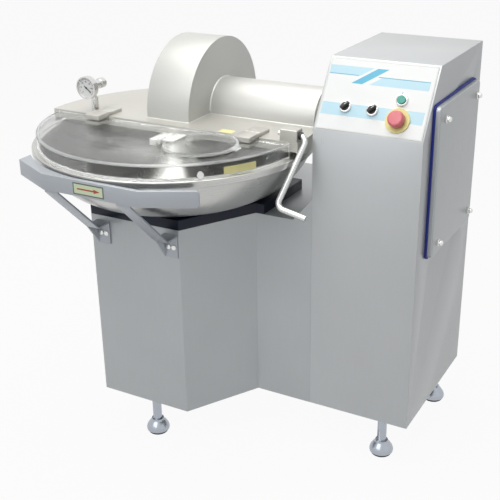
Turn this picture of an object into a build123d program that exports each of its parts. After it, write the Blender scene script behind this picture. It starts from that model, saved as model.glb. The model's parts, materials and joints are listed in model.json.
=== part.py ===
from build123d import *
import os
from math import cos, degrees, radians, sin, sqrt

os.makedirs("parts", exist_ok=True)

# ---------------------------------------------------------------------------
# Meat bowl cutter.  Millimetres, +Z up, operator stands on the -Y side.
# Origin: floor level, below the middle of the machine.
# ---------------------------------------------------------------------------

# Sheet metal and general fits
SHEET = 3.0                 # cabinet sheet
THIN_SHEET = 2.0            # hood, tube and control panel sheet
FIT = 0.05                  # radial clearance of shafts in bores
SEAT = 0.3                  # clearance of seated loose pieces

# Cabinet: console on the right, low base with a pedestal on the left
FOOT_HEIGHT = 130.0
CONSOLE_LEFT = 233.0
CONSOLE_WIDTH = 280.0
CONSOLE_FRONT = -33.0
CONSOLE_DEPTH = 430.0
CONSOLE_HEIGHT = 935.0
PANEL_EDGE_HEIGHT = 775.0   # lower edge of the sloping control face
PANEL_SETBACK = 103.0       # how far its upper edge stands back
BASE_HEIGHT = 530.0
SHOULDER_RISE = 62.0
SHOULDER_RUN = 53.0
BASE_LEFT = -312.0
PEDESTAL_FRONT = -229.0
PEDESTAL_CORNER = -40.0     # right end of the pedestal's front
OBLIQUE_END = 73.0          # where the oblique face meets the console's plane

# Levelling feet
FOOT_STEM_R = 12.5
FOOT_BELL_R = 32.0
FOOT_BELL_HEIGHT = 34.0
FOOT_RUBBER_HEIGHT = 8.0
FOOT_INSET = 50.0

# Bowl
BOWL_X = -168.0
BOWL_Y = -31.0
BOWL_RISE = 176.0           # rim above the base's top
BOWL_R = 373.0
RIM_HEIGHT = 18.0
BOWL_WALL = 18.0
TROUGH_R = 172.0            # section radius of the trough
HUB_DROP = 2.0              # hub top below the rim
HUB_NUT_R = 17.0

# Knife shaft: parallel to X, above the rim, behind the bowl's axis
KNIFE_AXIS_OFFSET = 185.0
KNIFE_AXIS_RISE = 46.0
KNIFE_SHAFT_R = 22.5
KNIFE_SEAT_R = 20.0
KNIFE_GAP = 2.5             # blade tip to bowl
KNIFE_COUNT = 3
KNIFE_THICKNESS = 5.0
KNIFE_SPACER = 12.0
KNIFE_HUB_R = 40.0
KNIFE_BEVEL = 7.0           # width of the ground cutting edge
KNIFE_START_X = -140.0
ARM_R = 42.0
ARM_END_X = -108.0
BEARING_OD = 75.0
BEARING_WIDTH = 16.0
CAP_LENGTH = 10.0
ARM_FLANGE_R = 72.0
ARM_FLANGE_THICKNESS = 14.0
ARM_INNER_LENGTH = 165.0    # length of the bearing arm inside the console

# Steel cover, knife hood and shaft tube
COVER_R = 378.0
COVER_GAP = 3.0             # skirt above the rim
COVER_HEIGHT = 36.0
CHORD_SETBACK = 35.0        # front edge of the steel cover, before the bowl's axis
HOOD_R = 185.0
HOOD_LEFT = -255.0
HOOD_WIDTH = 130.0
TUBE_R = 78.0
TUBE_LENGTH = 310.0
COVER_HINGE_OFFSET = 27.0   # hinge axis behind the cover's round edge
COVER_HINGE_DROP = 15.0     # below the cover's top
COVER_HINGE_SPREAD = 90.0
HINGE_KNUCKLE_R = 12.0
HINGE_PIN_R = 6.0
HINGE_POST_WIDTH = 30.0
HINGE_EAR = 9.0

# Clear lid with its port
LID_R = 359.0
LID_SHEET = 5.0
LID_HEIGHT = 35.0
LID_GAP = 2.0
LID_CHORD_GAP = 2.0
PORT_OFFSET = (183.0, -167.0)   # from the bowl's axis
PORT_R = 84.0
PORT_RING_WIDTH = 9.0
PORT_RING_HEIGHT = 10.0
PORT_LID_THICKNESS = 4.0
LID_HINGE_OFFSETS = (-212.0, 245.0)   # from the bowl's axis
LID_HINGE_WIDTH = 46.0
LID_HINGE_SETBACK = 12.0    # axis behind the cover's front edge
LID_HINGE_RISE = 6.0        # axis above the cover's top
LID_KNUCKLE_R = 5.0

# Drive
MOTOR_AXIS_Z = 330.0
MOTOR_R = 100.0
MOTOR_LENGTH = 190.0
MOTOR_PULLEY_R = 60.0
SHAFT_PULLEY_R = 45.0
PULLEY_LEFT = 430.0
BELT_WIDTH = 45.0
BELT_THICKNESS = 6.0
BELT_GAP = 0.3
MOTOR_SHAFT_R = 19.0

# ---------------------------------------------------------------------------
# Derived places
# ---------------------------------------------------------------------------
CONSOLE_RIGHT = CONSOLE_LEFT + CONSOLE_WIDTH
CONSOLE_BACK = CONSOLE_FRONT + CONSOLE_DEPTH
BODY_Z = FOOT_HEIGHT
CONSOLE_TOP = BODY_Z + CONSOLE_HEIGHT
PANEL_EDGE_Z = BODY_Z + PANEL_EDGE_HEIGHT
BASE_TOP = BODY_Z + BASE_HEIGHT
RIM_Z = BASE_TOP + BOWL_RISE
SHAFT_Y = BOWL_Y + KNIFE_AXIS_OFFSET
SHAFT_Z = RIM_Z + KNIFE_AXIS_RISE
KNIFE_R = TROUGH_R - KNIFE_GAP
COVER_TOP = RIM_Z + COVER_GAP + COVER_HEIGHT
HOOD_RIGHT = HOOD_LEFT + HOOD_WIDTH
TUBE_RIGHT = HOOD_RIGHT + TUBE_LENGTH
CHORD_Y = BOWL_Y - CHORD_SETBACK
COVER_HINGE_REACH = COVER_R + COVER_HINGE_OFFSET
COVER_HINGE_Y = BOWL_Y + COVER_HINGE_REACH
COVER_HINGE_Z = COVER_TOP - COVER_HINGE_DROP
COVER_HINGE_X = (BOWL_X - COVER_HINGE_SPREAD, BOWL_X + COVER_HINGE_SPREAD)
LID_TOP = RIM_Z + LID_GAP + LID_HEIGHT
LID_CHORD = CHORD_Y - LID_CHORD_GAP
LID_HINGE_X = tuple(BOWL_X + offset_x for offset_x in LID_HINGE_OFFSETS)
LID_HINGE_Y = CHORD_Y + LID_HINGE_SETBACK
LID_HINGE_Z = COVER_TOP + LID_HINGE_RISE
PORT_X = BOWL_X + PORT_OFFSET[0]
PORT_Y = BOWL_Y + PORT_OFFSET[1]


# ---------------------------------------------------------------------------
# Shape helpers
# ---------------------------------------------------------------------------
LOW = (Align.CENTER, Align.CENTER, Align.MIN)   # stands on z = 0


def block(x0, x1, y0, y1, z0, z1):
    """Box between two corners."""
    return Pos((x0 + x1) / 2, (y0 + y1) / 2, (z0 + z1) / 2) * Box(x1 - x0, y1 - y0, z1 - z0)


def rod_x(x0, x1, y, z, r):
    return Pos((x0 + x1) / 2, y, z) * Rot(0, 90, 0) * Cylinder(r, x1 - x0)


def rod_y(x, y0, y1, z, r):
    return Pos(x, (y0 + y1) / 2, z) * Rot(90, 0, 0) * Cylinder(r, y1 - y0)


def rod_z(x, y, z0, z1, r):
    return Pos(x, y, (z0 + z1) / 2) * Cylinder(r, z1 - z0)


def outline(points):
    return make_face(Polyline(*points, close=True))


def prism_z(face, z0, z1):
    """Face drawn in XY, raised from z0 to z1."""
    return extrude(Pos(0, 0, z0) * face, z1 - z0, dir=(0, 0, 1))


def prism_x(face, x0, x1):
    """Face drawn in (y, z), drawn out from x0 to x1."""
    return extrude(Plane.YZ.offset(x0) * face, x1 - x0, dir=(1, 0, 0))


def prism_y(face, y0, y1):
    """Face drawn in (x, z), drawn out from y0 to y1."""
    return extrude(Plane((0, y0, 0), x_dir=(1, 0, 0), z_dir=(0, -1, 0)) * face, y1 - y0, dir=(0, 1, 0))


def turned_z(points, x, y):
    """Closed (radius, height) outline turned about a vertical axis."""
    profile = Plane.XZ * outline(points)
    return Pos(x, y, 0) * revolve(profile, Axis.Z)


def turned_x(points, y, z):
    """Closed (x, radius) outline turned about an axis parallel to X."""
    return Pos(0, y, z) * revolve(outline(points), Axis.X)


def rounded_plate(width, height, thickness, radius):
    return extrude(RectangleRounded(width, height, radius), thickness)


def hexagon_prism(across_flats, height):
    return extrude(RegularPolygon(across_flats / 2, 6, major_radius=False), height)


def save(node, shapes):
    """Write one sub-part; several shapes stay separate solids of its node."""
    if not isinstance(shapes, (list, tuple)):
        shapes = [shapes]
    solids = [solid for shape in shapes for solid in shape.solids()]
    result = solids[0] if len(solids) == 1 else Compound(children=solids)
    result.label = node
    export_step(result, f"parts/{node}.step")


# ---------------------------------------------------------------------------
# Cabinet
# ---------------------------------------------------------------------------
console_profile = outline([
    (CONSOLE_FRONT, BODY_Z),
    (CONSOLE_BACK, BODY_Z),
    (CONSOLE_BACK, CONSOLE_TOP),
    (CONSOLE_FRONT + PANEL_SETBACK, CONSOLE_TOP),
    (CONSOLE_FRONT, PANEL_EDGE_Z),
])
base_outline = outline([
    (CONSOLE_LEFT, CONSOLE_FRONT),
    (OBLIQUE_END, CONSOLE_FRONT),
    (PEDESTAL_CORNER, PEDESTAL_FRONT),
    (BASE_LEFT, PEDESTAL_FRONT),
    (BASE_LEFT, CONSOLE_BACK),
    (CONSOLE_LEFT, CONSOLE_BACK),
])

# The sloping control face: u runs to the right, v up the slope, n outwards
panel_slope = Vector(0, PANEL_SETBACK, CONSOLE_TOP - PANEL_EDGE_Z)
PANEL_LENGTH = panel_slope.length
panel_normal = Vector(1, 0, 0).cross(panel_slope.normalized())
panel_plane = Plane((CONSOLE_LEFT, CONSOLE_FRONT, PANEL_EDGE_Z), x_dir=(1, 0, 0), z_dir=panel_normal)
PANEL_MARGIN = 5.0
PANEL_LEDGE = 12.0


def on_panel(u, v, n=0.0):
    """Location on the control face."""
    return panel_plane.location * Pos(u, v, n)


# Removable service panels, each on a soft seal, held by four dome nuts
SEAL_THICKNESS = 6.0
TRAY_DEPTH = 12.0
TRAY_RADIUS = 12.0
TRAY_EDGE_RADIUS = 4.0
SEAL_LIP = 4.0
NUT_INSET = 34.0
NUT_ACROSS = 17.0
NUT_HEIGHT = 7.0
DOME_RISE = 3.0             # straight part of a nut's cap
OPENING_MARGIN = 50.0
OPENING_RADIUS = 8.0
CONSOLE_PANEL = dict(y=183.0, z=787.0, width=314.0, height=382.0)
BASE_PANEL = dict(y=-36.0, z=400.0, width=340.0, height=327.0)
REAR_PANEL = dict(x=373.0, z=575.0, width=230.0, height=680.0)
REAR_PANEL_SHEET = 3.0
GLAND_X = CONSOLE_RIGHT - 70.0
GLAND_Z = BODY_Z + 60.0
GLAND_R = 12.5
BOWL_HOUSING_R = 52.0
BOWL_HOUSING_FLANGE_R = 92.0

console_wall = Plane(
    (CONSOLE_RIGHT, CONSOLE_PANEL["y"], CONSOLE_PANEL["z"]),
    x_dir=(0, 1, 0),
    z_dir=(1, 0, 0),
)
base_wall = Plane(
    (BASE_LEFT, BASE_PANEL["y"], BASE_PANEL["z"]),
    x_dir=(0, -1, 0),
    z_dir=(-1, 0, 0),
)
rear_wall = Plane(
    (REAR_PANEL["x"], CONSOLE_BACK, REAR_PANEL["z"]),
    x_dir=(-1, 0, 0),
    z_dir=(0, 1, 0),
)


def service_opening(wall, size):
    """Hole in the cabinet wall behind a service panel."""
    width = size["width"] - 2 * OPENING_MARGIN
    height = size["height"] - 2 * OPENING_MARGIN
    hole = rounded_plate(width, height, 4 * SHEET, OPENING_RADIUS)
    return wall.location * Pos(0, 0, -2 * SHEET) * hole


def service_seal(wall, size):
    width = size["width"]
    height = size["height"]
    outer = rounded_plate(width + 2 * SEAL_LIP, height + 2 * SEAL_LIP, SEAL_THICKNESS, TRAY_RADIUS)
    inner = rounded_plate(width - OPENING_MARGIN, height - OPENING_MARGIN, SEAL_THICKNESS, OPENING_RADIUS)
    return wall.location * (outer - inner)


def service_tray(wall, size):
    """Shallow pressed tray, hollow towards the cabinet."""
    width = size["width"]
    height = size["height"]
    outer = rounded_plate(width, height, TRAY_DEPTH, TRAY_RADIUS)
    outer = fillet(outer.edges().group_by(Axis.Z)[-1], TRAY_EDGE_RADIUS)
    depth = TRAY_DEPTH - SHEET
    hollow = rounded_plate(width - OPENING_MARGIN, height - OPENING_MARGIN, depth, OPENING_RADIUS)
    return wall.location * Pos(0, 0, SEAL_THICKNESS) * (outer - hollow)


def corner_places(size):
    """The four nut places of a service panel."""
    du = size["width"] / 2 - NUT_INSET
    dv = size["height"] / 2 - NUT_INSET
    return [(u, v) for u in (-du, du) for v in (-dv, dv)]


def dome_nut():
    """Hexagon nut with a domed cap, seated on its lower face."""
    cap_r = 0.42 * NUT_ACROSS
    cap = Pos(0, 0, NUT_HEIGHT) * Cylinder(cap_r, DOME_RISE, align=LOW)
    dome = Pos(0, 0, NUT_HEIGHT + DOME_RISE) * Sphere(cap_r, arc_size1=0, align=LOW)
    return hexagon_prism(NUT_ACROSS, NUT_HEIGHT) + cap + dome


def console_frame():
    """Welded console: a hollow box with a sloping control face."""
    inner = prism_x(offset(console_profile, -SHEET), CONSOLE_LEFT + SHEET, CONSOLE_RIGHT - SHEET)
    shell = prism_x(console_profile, CONSOLE_LEFT, CONSOLE_RIGHT) - inner
    face_u = CONSOLE_WIDTH - 2 * (PANEL_MARGIN + PANEL_LEDGE)
    face_v = PANEL_LENGTH - 2 * (PANEL_MARGIN + PANEL_LEDGE)
    face_hole = on_panel(CONSOLE_WIDTH / 2, PANEL_LENGTH / 2) * Box(face_u, face_v, 6 * SHEET)
    arm_hole = rod_x(CONSOLE_LEFT - SHEET, CONSOLE_LEFT + 2 * SHEET, SHAFT_Y, SHAFT_Z, ARM_R + SEAT)
    gland_hole = rod_y(GLAND_X, CONSOLE_BACK - 2 * SHEET, CONSOLE_BACK + SHEET, GLAND_Z, GLAND_R + FIT)
    return (shell - face_hole - arm_hole - gland_hole
            - service_opening(console_wall, CONSOLE_PANEL)
            - service_opening(rear_wall, REAR_PANEL))


def base_frame():
    """Welded base under the bowl, open towards the console, with a sloping shoulder."""
    shoulder = outline([
        (CONSOLE_LEFT - SHOULDER_RUN, BASE_TOP),
        (CONSOLE_LEFT, BASE_TOP),
        (CONSOLE_LEFT, BASE_TOP + SHOULDER_RISE),
    ])
    outer = prism_z(base_outline, BODY_Z, BASE_TOP) + prism_y(shoulder, CONSOLE_FRONT, CONSOLE_BACK)
    drop = SHEET * sqrt(SHOULDER_RUN ** 2 + SHOULDER_RISE ** 2) / SHOULDER_RUN
    hollow = prism_z(offset(base_outline, -SHEET), BODY_Z + SHEET, BASE_TOP - SHEET)
    mouth = block(CONSOLE_LEFT - 2 * SHEET, CONSOLE_LEFT, CONSOLE_FRONT + SHEET, CONSOLE_BACK - SHEET,
                  BODY_Z + SHEET, BASE_TOP - SHEET)
    shoulder_hollow = Pos(0, 0, -drop) * prism_y(shoulder, CONSOLE_FRONT + SHEET, CONSOLE_BACK - SHEET)
    spindle_hole = rod_z(BOWL_X, BOWL_Y, BASE_TOP - 2 * SHEET, BASE_TOP + SHEET, BOWL_HOUSING_R + SEAT)
    return (outer - hollow - mouth - shoulder_hollow - spindle_hole
            - service_opening(base_wall, BASE_PANEL))


save("console_frame", console_frame())
save("base_frame", base_frame())
save("console_side_seal", service_seal(console_wall, CONSOLE_PANEL))
save("console_side_panel", service_tray(console_wall, CONSOLE_PANEL))
save("base_side_seal", service_seal(base_wall, BASE_PANEL))
save("base_side_panel", service_tray(base_wall, BASE_PANEL))
save("rear_panel", rear_wall.location * rounded_plate(
    REAR_PANEL["width"], REAR_PANEL["height"], REAR_PANEL_SHEET, TRAY_RADIUS))
tray_top = SEAL_THICKNESS + TRAY_DEPTH
dome_nuts = []
for wall, size, seat in (
    (console_wall, CONSOLE_PANEL, tray_top),
    (base_wall, BASE_PANEL, tray_top),
    (rear_wall, REAR_PANEL, REAR_PANEL_SHEET),
):
    dome_nuts += [wall.location * Pos(u, v, seat) * dome_nut() for u, v in corner_places(size)]
save("panel_dome_nuts", dome_nuts)


def cable_gland():
    """Plastic inlet gland through the rear wall; its cord is not part of the model."""
    body = rod_y(GLAND_X, CONSOLE_BACK - 14, CONSOLE_BACK + 10, GLAND_Z, GLAND_R)
    collar = Pos(GLAND_X, CONSOLE_BACK, GLAND_Z) * Rot(-90, 0, 0) * hexagon_prism(30, 9)
    cap = rod_y(GLAND_X, CONSOLE_BACK + 9, CONSOLE_BACK + 24, GLAND_Z, GLAND_R)
    bore = rod_y(GLAND_X, CONSOLE_BACK - 15, CONSOLE_BACK + 25, GLAND_Z, 6.5)
    return body + collar + cap - bore


save("cable_gland", cable_gland())

# Feet: one under the pedestal's front, three at the corners
FOOT_PLACES = [
    ((BASE_LEFT + PEDESTAL_CORNER) / 2, PEDESTAL_FRONT + FOOT_INSET),
    (CONSOLE_RIGHT - 85.0, CONSOLE_FRONT + FOOT_INSET),
    (CONSOLE_RIGHT - FOOT_INSET, CONSOLE_BACK - FOOT_INSET),
    (BASE_LEFT + FOOT_INSET, CONSOLE_BACK - FOOT_INSET),
]


def levelling_foot(x, y):
    """Turned stem that widens into a bell."""
    shoulder_z = FOOT_RUBBER_HEIGHT + FOOT_BELL_HEIGHT
    bell = [
        (0, FOOT_RUBBER_HEIGHT),
        (FOOT_BELL_R, FOOT_RUBBER_HEIGHT),
        (FOOT_BELL_R + 0.5, FOOT_RUBBER_HEIGHT + 6),
        (FOOT_BELL_R - 1.5, FOOT_RUBBER_HEIGHT + 13),
        (FOOT_BELL_R - 8, FOOT_RUBBER_HEIGHT + 23),
        (FOOT_STEM_R + 4.5, shoulder_z - 3),
        (FOOT_STEM_R + 4.5, shoulder_z),
        (FOOT_STEM_R, shoulder_z),
        (FOOT_STEM_R, BODY_Z),
        (0, BODY_Z),
    ]
    return turned_z(bell, x, y)


def foot_rubber(x, y):
    profile = [(0, 0), (FOOT_BELL_R - 5, 0), (FOOT_BELL_R, FOOT_RUBBER_HEIGHT), (0, FOOT_RUBBER_HEIGHT)]
    return turned_z(profile, x, y)


save("levelling_feet", [levelling_foot(x, y) for x, y in FOOT_PLACES])
save("foot_rubbers", [foot_rubber(x, y) for x, y in FOOT_PLACES])

# ---------------------------------------------------------------------------
# Controls
# ---------------------------------------------------------------------------
DEVICE_R = 11.15            # 22 mm control devices
BEZEL_R = 14.75
BEZEL_HEIGHT = 5.0
BUTTON_GAP = 0.35           # round a moving button or knob
BUTTON_R = DEVICE_R - BUTTON_GAP
START_PLACE = (206.0, 96.0)
STOP_PLACE = (207.0, 46.0)
SELECTOR_PLACES = {"left_selector": (70.0, 65.0), "right_selector": (139.0, 64.0)}
BUTTON_TRAVEL = 4.0
STOP_RING_R = 30.0
STOP_RING_HEIGHT = 4.0
STOP_HEAD_R = 20.0
STOP_HEAD_HEIGHT = 15.0
STOP_TRAVEL = 4.0
SELECTOR_ANGLE = 45.0
SWITCH_SIZE = 30.0
SWITCH_DEPTH = 46.0
DEVICE_PLACES = [START_PLACE, STOP_PLACE] + list(SELECTOR_PLACES.values())


def control_panel():
    plate = Box(CONSOLE_WIDTH - 2 * PANEL_MARGIN, PANEL_LENGTH - 2 * PANEL_MARGIN, THIN_SHEET, align=LOW)
    plate = on_panel(CONSOLE_WIDTH / 2, PANEL_LENGTH / 2) * plate
    for u, v in DEVICE_PLACES:
        plate -= on_panel(u, v) * Cylinder(DEVICE_R, 6 * THIN_SHEET)
    return plate


def bezel():
    ring = Cylinder(BEZEL_R, BEZEL_HEIGHT, align=LOW)
    ring = chamfer(ring.edges().group_by(Axis.Z)[-1], 1.5)
    return ring - Cylinder(DEVICE_R, 4 * BEZEL_HEIGHT)


def start_button():
    """Flat green button, its cap just above the bezel."""
    stem_bottom = -2 * THIN_SHEET
    top = THIN_SHEET + BEZEL_HEIGHT + BUTTON_TRAVEL + 1
    cap = Pos(0, 0, stem_bottom) * Cylinder(BUTTON_R, top - stem_bottom, align=LOW)
    return fillet(cap.edges().group_by(Axis.Z)[-1], 1)


def stop_button():
    """Mushroom head on a stem."""
    stem_bottom = -2 * THIN_SHEET
    head_bottom = THIN_SHEET + STOP_RING_HEIGHT + STOP_TRAVEL + 1
    stem = Pos(0, 0, stem_bottom) * Cylinder(BUTTON_R, head_bottom - stem_bottom + 2, align=LOW)
    head = Pos(0, 0, head_bottom) * Cylinder(STOP_HEAD_R, STOP_HEAD_HEIGHT, align=LOW)
    head = fillet(head.edges().group_by(Axis.Z)[-1], 6)
    return stem + head


def selector_knob():
    """Round base with a lever-shaped handle."""
    stem_bottom = -2 * THIN_SHEET
    base_top = THIN_SHEET + BEZEL_HEIGHT + 1
    base = Pos(0, 0, stem_bottom) * Cylinder(BUTTON_R, base_top - stem_bottom, align=LOW)
    handle = Pos(9, 0, base_top) * extrude(SlotOverall(36, 9), 11)
    return base + handle


def switch_body():
    """Contact block behind the panel, with its clamping collar against the panel."""
    collar = Pos(0, 0, -9) * Cylinder(SWITCH_SIZE / 2, 9, align=LOW)
    well = Pos(0, 0, -9) * Cylinder(DEVICE_R + 1, 9, align=LOW)
    body = Pos(0, 0, -9 - SWITCH_DEPTH) * Box(SWITCH_SIZE, SWITCH_SIZE, SWITCH_DEPTH, align=LOW)
    return collar - well + body


save("control_panel", control_panel())
bezel_places = [START_PLACE] + list(SELECTOR_PLACES.values())
save("control_bezels", [on_panel(u, v, THIN_SHEET) * bezel() for u, v in bezel_places])
save("start_button", on_panel(*START_PLACE) * start_button())
stop_ring = Cylinder(STOP_RING_R, STOP_RING_HEIGHT, align=LOW) - Cylinder(DEVICE_R, 4 * STOP_RING_HEIGHT)
save("stop_ring", on_panel(*STOP_PLACE, THIN_SHEET) * stop_ring)
save("stop_button", on_panel(*STOP_PLACE) * stop_button())
for node, place in SELECTOR_PLACES.items():
    save(node, on_panel(*place) * Rot(0, 0, SELECTOR_ANGLE) * selector_knob())
save("switch_bodies", [on_panel(u, v) * switch_body() for u, v in DEVICE_PLACES])

# ---------------------------------------------------------------------------
# Neck, bowl and its spindle
# ---------------------------------------------------------------------------
NECK_RIGHT = 97.0
NECK_BACK = 190.0
NECK_GAP = 5.0              # below the bowl
NECK_WALL = 8.0
SPINDLE_R = 22.5
SPINDLE_FLANGE_R = 60.0
SPINDLE_FLANGE_THICKNESS = 12.0
SPINDLE_DEPTH = 110.0       # its lower end below the base's top
BOSS_R = 100.0
HOUSING_DEPTH = 70.0
GEARBOX_WIDTH = 150.0
GEARBOX_DEPTH = 170.0
GEARBOX_HEIGHT = 150.0
GEARBOX_GAP = 6.0           # below the bearing housing
BOWL_MOTOR_R = 62.0
BOWL_MOTOR_LENGTH = 190.0
BOWL_MOTOR_COWL = 45.0
GEARBOX_LEG = 120.0
GEARBOX_LEG_WALL = 10.0


def ring_rise(radius, distance):
    """Height over a circle's centre line at a sideways distance."""
    return sqrt(radius ** 2 - distance ** 2)


bowl_outer_r = TROUGH_R + BOWL_WALL
bowl_bottom = SHAFT_Z - bowl_outer_r
neck_top = bowl_bottom - NECK_GAP
boss_z = SHAFT_Z - ring_rise(bowl_outer_r, KNIFE_AXIS_OFFSET - BOSS_R)
hub_z = RIM_Z - HUB_DROP
hub_r = KNIFE_AXIS_OFFSET - ring_rise(TROUGH_R, SHAFT_Z - hub_z)
rim_inner_r = KNIFE_AXIS_OFFSET + ring_rise(TROUGH_R, KNIFE_AXIS_RISE)
under_rim_z = RIM_Z - RIM_HEIGHT
under_rim_r = KNIFE_AXIS_OFFSET + ring_rise(bowl_outer_r, SHAFT_Z - under_rim_z)


def bowl():
    """Cast bowl: a ring-shaped trough round a central hub, with a broad rim."""
    inner_bottom = (KNIFE_AXIS_OFFSET, SHAFT_Z - TROUGH_R)
    outer_bottom = (KNIFE_AXIS_OFFSET, bowl_bottom)
    edges = [
        Line((0, boss_z), (0, hub_z)),
        Line((0, hub_z), (hub_r, hub_z)),
        ThreePointArc((hub_r, hub_z), inner_bottom, (rim_inner_r, RIM_Z)),
        Line((rim_inner_r, RIM_Z), (BOWL_R - 4, RIM_Z)),
        ThreePointArc((BOWL_R - 4, RIM_Z), (BOWL_R - 1.2, RIM_Z - 1.2), (BOWL_R, RIM_Z - 4)),
        Line((BOWL_R, RIM_Z - 4), (BOWL_R, under_rim_z)),
        Line((BOWL_R, under_rim_z), (under_rim_r, under_rim_z)),
        ThreePointArc((under_rim_r, under_rim_z), outer_bottom, (BOSS_R, boss_z)),
        Line((BOSS_R, boss_z), (0, boss_z)),
    ]
    section = Plane.XZ * make_face(edges)
    return Pos(BOWL_X, BOWL_Y, 0) * revolve(section, Axis.Z)


def neck_skirt():
    """Dark skirt between base and bowl, following the pedestal's outline."""
    limit = block(BASE_LEFT, NECK_RIGHT, PEDESTAL_FRONT, NECK_BACK, BASE_TOP, neck_top)
    outer = prism_z(base_outline, BASE_TOP, neck_top) & limit
    inner_limit = block(BASE_LEFT, NECK_RIGHT - NECK_WALL, PEDESTAL_FRONT, NECK_BACK - NECK_WALL,
                        BASE_TOP, neck_top - NECK_WALL)
    inner = prism_z(offset(base_outline, -NECK_WALL), BASE_TOP, neck_top - NECK_WALL) & inner_limit
    hole = rod_z(BOWL_X, BOWL_Y, BASE_TOP, neck_top + 1, BOWL_HOUSING_R + SEAT)
    return outer - inner - hole


def bowl_bearing_housing():
    """Flanged housing on the base's top, bored for two bearings."""
    top = boss_z - SPINDLE_FLANGE_THICKNESS - 4
    bottom = BASE_TOP - HOUSING_DEPTH
    seat_r = BEARING_OD / 2
    profile = [
        (SPINDLE_R + 6, bottom),
        (BOWL_HOUSING_R, bottom),
        (BOWL_HOUSING_R, BASE_TOP),
        (BOWL_HOUSING_FLANGE_R, BASE_TOP),
        (BOWL_HOUSING_FLANGE_R, BASE_TOP + 12),
        (BOWL_HOUSING_R, BASE_TOP + 12),
        (BOWL_HOUSING_R, top),
        (seat_r + FIT, top),
        (seat_r + FIT, top - BEARING_WIDTH - 2),
        (seat_r - 5, top - BEARING_WIDTH - 2),
        (seat_r - 5, bottom + BEARING_WIDTH + 6),
        (seat_r + FIT, bottom + BEARING_WIDTH + 6),
        (seat_r + FIT, bottom + 6),
        (SPINDLE_R + 6, bottom + 6),
    ]
    return turned_z(profile, BOWL_X, BOWL_Y)


def bearing(bore_r):
    """Deep-groove ball bearing standing on z = 0: two rings and a shielded gap."""
    half = BEARING_WIDTH / 2
    rings = Cylinder(BEARING_OD / 2, BEARING_WIDTH) - Cylinder(bore_r + FIT, 2 * BEARING_WIDTH)
    shield_r = (BEARING_OD / 2 + bore_r) / 2
    for side in (-1, 1):
        groove = Pos(0, 0, side * half) * (Cylinder(shield_r + 5, 1.6) - Cylinder(shield_r - 5, 1.6))
        rings -= groove
    return Pos(0, 0, half) * rings


def bowl_shaft():
    """Spindle with the flange that carries the bowl."""
    top = boss_z
    bottom = BASE_TOP - SPINDLE_DEPTH
    profile = [
        (0, bottom),
        (SPINDLE_R, bottom),
        (SPINDLE_R, top - SPINDLE_FLANGE_THICKNESS),
        (SPINDLE_FLANGE_R, top - SPINDLE_FLANGE_THICKNESS),
        (SPINDLE_FLANGE_R, top),
        (0, top),
    ]
    return turned_z(profile, BOWL_X, BOWL_Y)


def bowl_gear_motor():
    """Worm gearbox under the spindle with its motor lying towards the back."""
    top = BASE_TOP - HOUSING_DEPTH - GEARBOX_GAP
    bottom = top - GEARBOX_HEIGHT
    middle = (top + bottom) / 2
    case = Pos(BOWL_X, BOWL_Y, middle) * Box(GEARBOX_WIDTH, GEARBOX_DEPTH, GEARBOX_HEIGHT)
    case = fillet(case.edges().filter_by(Axis.Z), 18)
    output_bore = rod_z(BOWL_X, BOWL_Y, BASE_TOP - SPINDLE_DEPTH - 10, top + 1, SPINDLE_R + 1)
    barrel_start = BOWL_Y + GEARBOX_DEPTH / 2 - 5
    barrel_end = barrel_start + BOWL_MOTOR_LENGTH
    barrel = rod_y(BOWL_X, barrel_start, barrel_end, middle, BOWL_MOTOR_R)
    cowl = rod_y(BOWL_X, barrel_end, barrel_end + BOWL_MOTOR_COWL, middle, BOWL_MOTOR_R + 4)
    half = GEARBOX_LEG / 2
    floor_z = BODY_Z + SHEET
    leg = block(BOWL_X - half, BOWL_X + half, BOWL_Y - half, BOWL_Y + half, floor_z, bottom)
    window = block(BOWL_X - half + 2 * GEARBOX_LEG_WALL, BOWL_X + half - 2 * GEARBOX_LEG_WALL,
                   BOWL_Y - GEARBOX_LEG, BOWL_Y + GEARBOX_LEG,
                   floor_z + GEARBOX_LEG_WALL, bottom - GEARBOX_LEG_WALL)
    return case + barrel + cowl + (leg - window) - output_bore


save("neck_skirt", neck_skirt())
save("bowl", bowl())
hub_nut = Pos(BOWL_X, BOWL_Y, hub_z) * (
    Cylinder(HUB_NUT_R, 4, align=LOW) + Pos(0, 0, 4) * Cone(HUB_NUT_R - 2, HUB_NUT_R - 9, 7, align=LOW))
save("bowl_hub_nut", hub_nut)
save("bowl_shaft", bowl_shaft())
save("bowl_bearing_housing", bowl_bearing_housing())
save("bowl_gear_motor", bowl_gear_motor())

# ---------------------------------------------------------------------------
# Knife shaft in its bearing arm
# ---------------------------------------------------------------------------
arm_inner_end = CONSOLE_LEFT + ARM_INNER_LENGTH
front_bearing_x = ARM_END_X + 6
rear_bearing_x = arm_inner_end - BEARING_WIDTH - 4
housing_top = boss_z - SPINDLE_FLANGE_THICKNESS - 4
lower_bearing_z = BASE_TOP - HOUSING_DEPTH + 6
upper_bearing_z = housing_top - BEARING_WIDTH - 2


def knife_arm():
    """Bearing arm that reaches over the bowl's rim, bolted to the console by its flange."""
    seat_r = BEARING_OD / 2 + FIT
    waist_r = seat_r - 4
    flange_x = CONSOLE_LEFT - ARM_FLANGE_THICKNESS
    profile = [
        (ARM_END_X, seat_r),
        (ARM_END_X, ARM_R),
        (flange_x, ARM_R),
        (flange_x, ARM_FLANGE_R),
        (CONSOLE_LEFT, ARM_FLANGE_R),
        (CONSOLE_LEFT, ARM_R),
        (arm_inner_end, ARM_R),
        (arm_inner_end, seat_r),
        (rear_bearing_x, seat_r),
        (rear_bearing_x, waist_r),
        (front_bearing_x + BEARING_WIDTH, waist_r),
        (front_bearing_x + BEARING_WIDTH, seat_r),
    ]
    return turned_x(profile, SHAFT_Y, SHAFT_Z)


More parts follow.
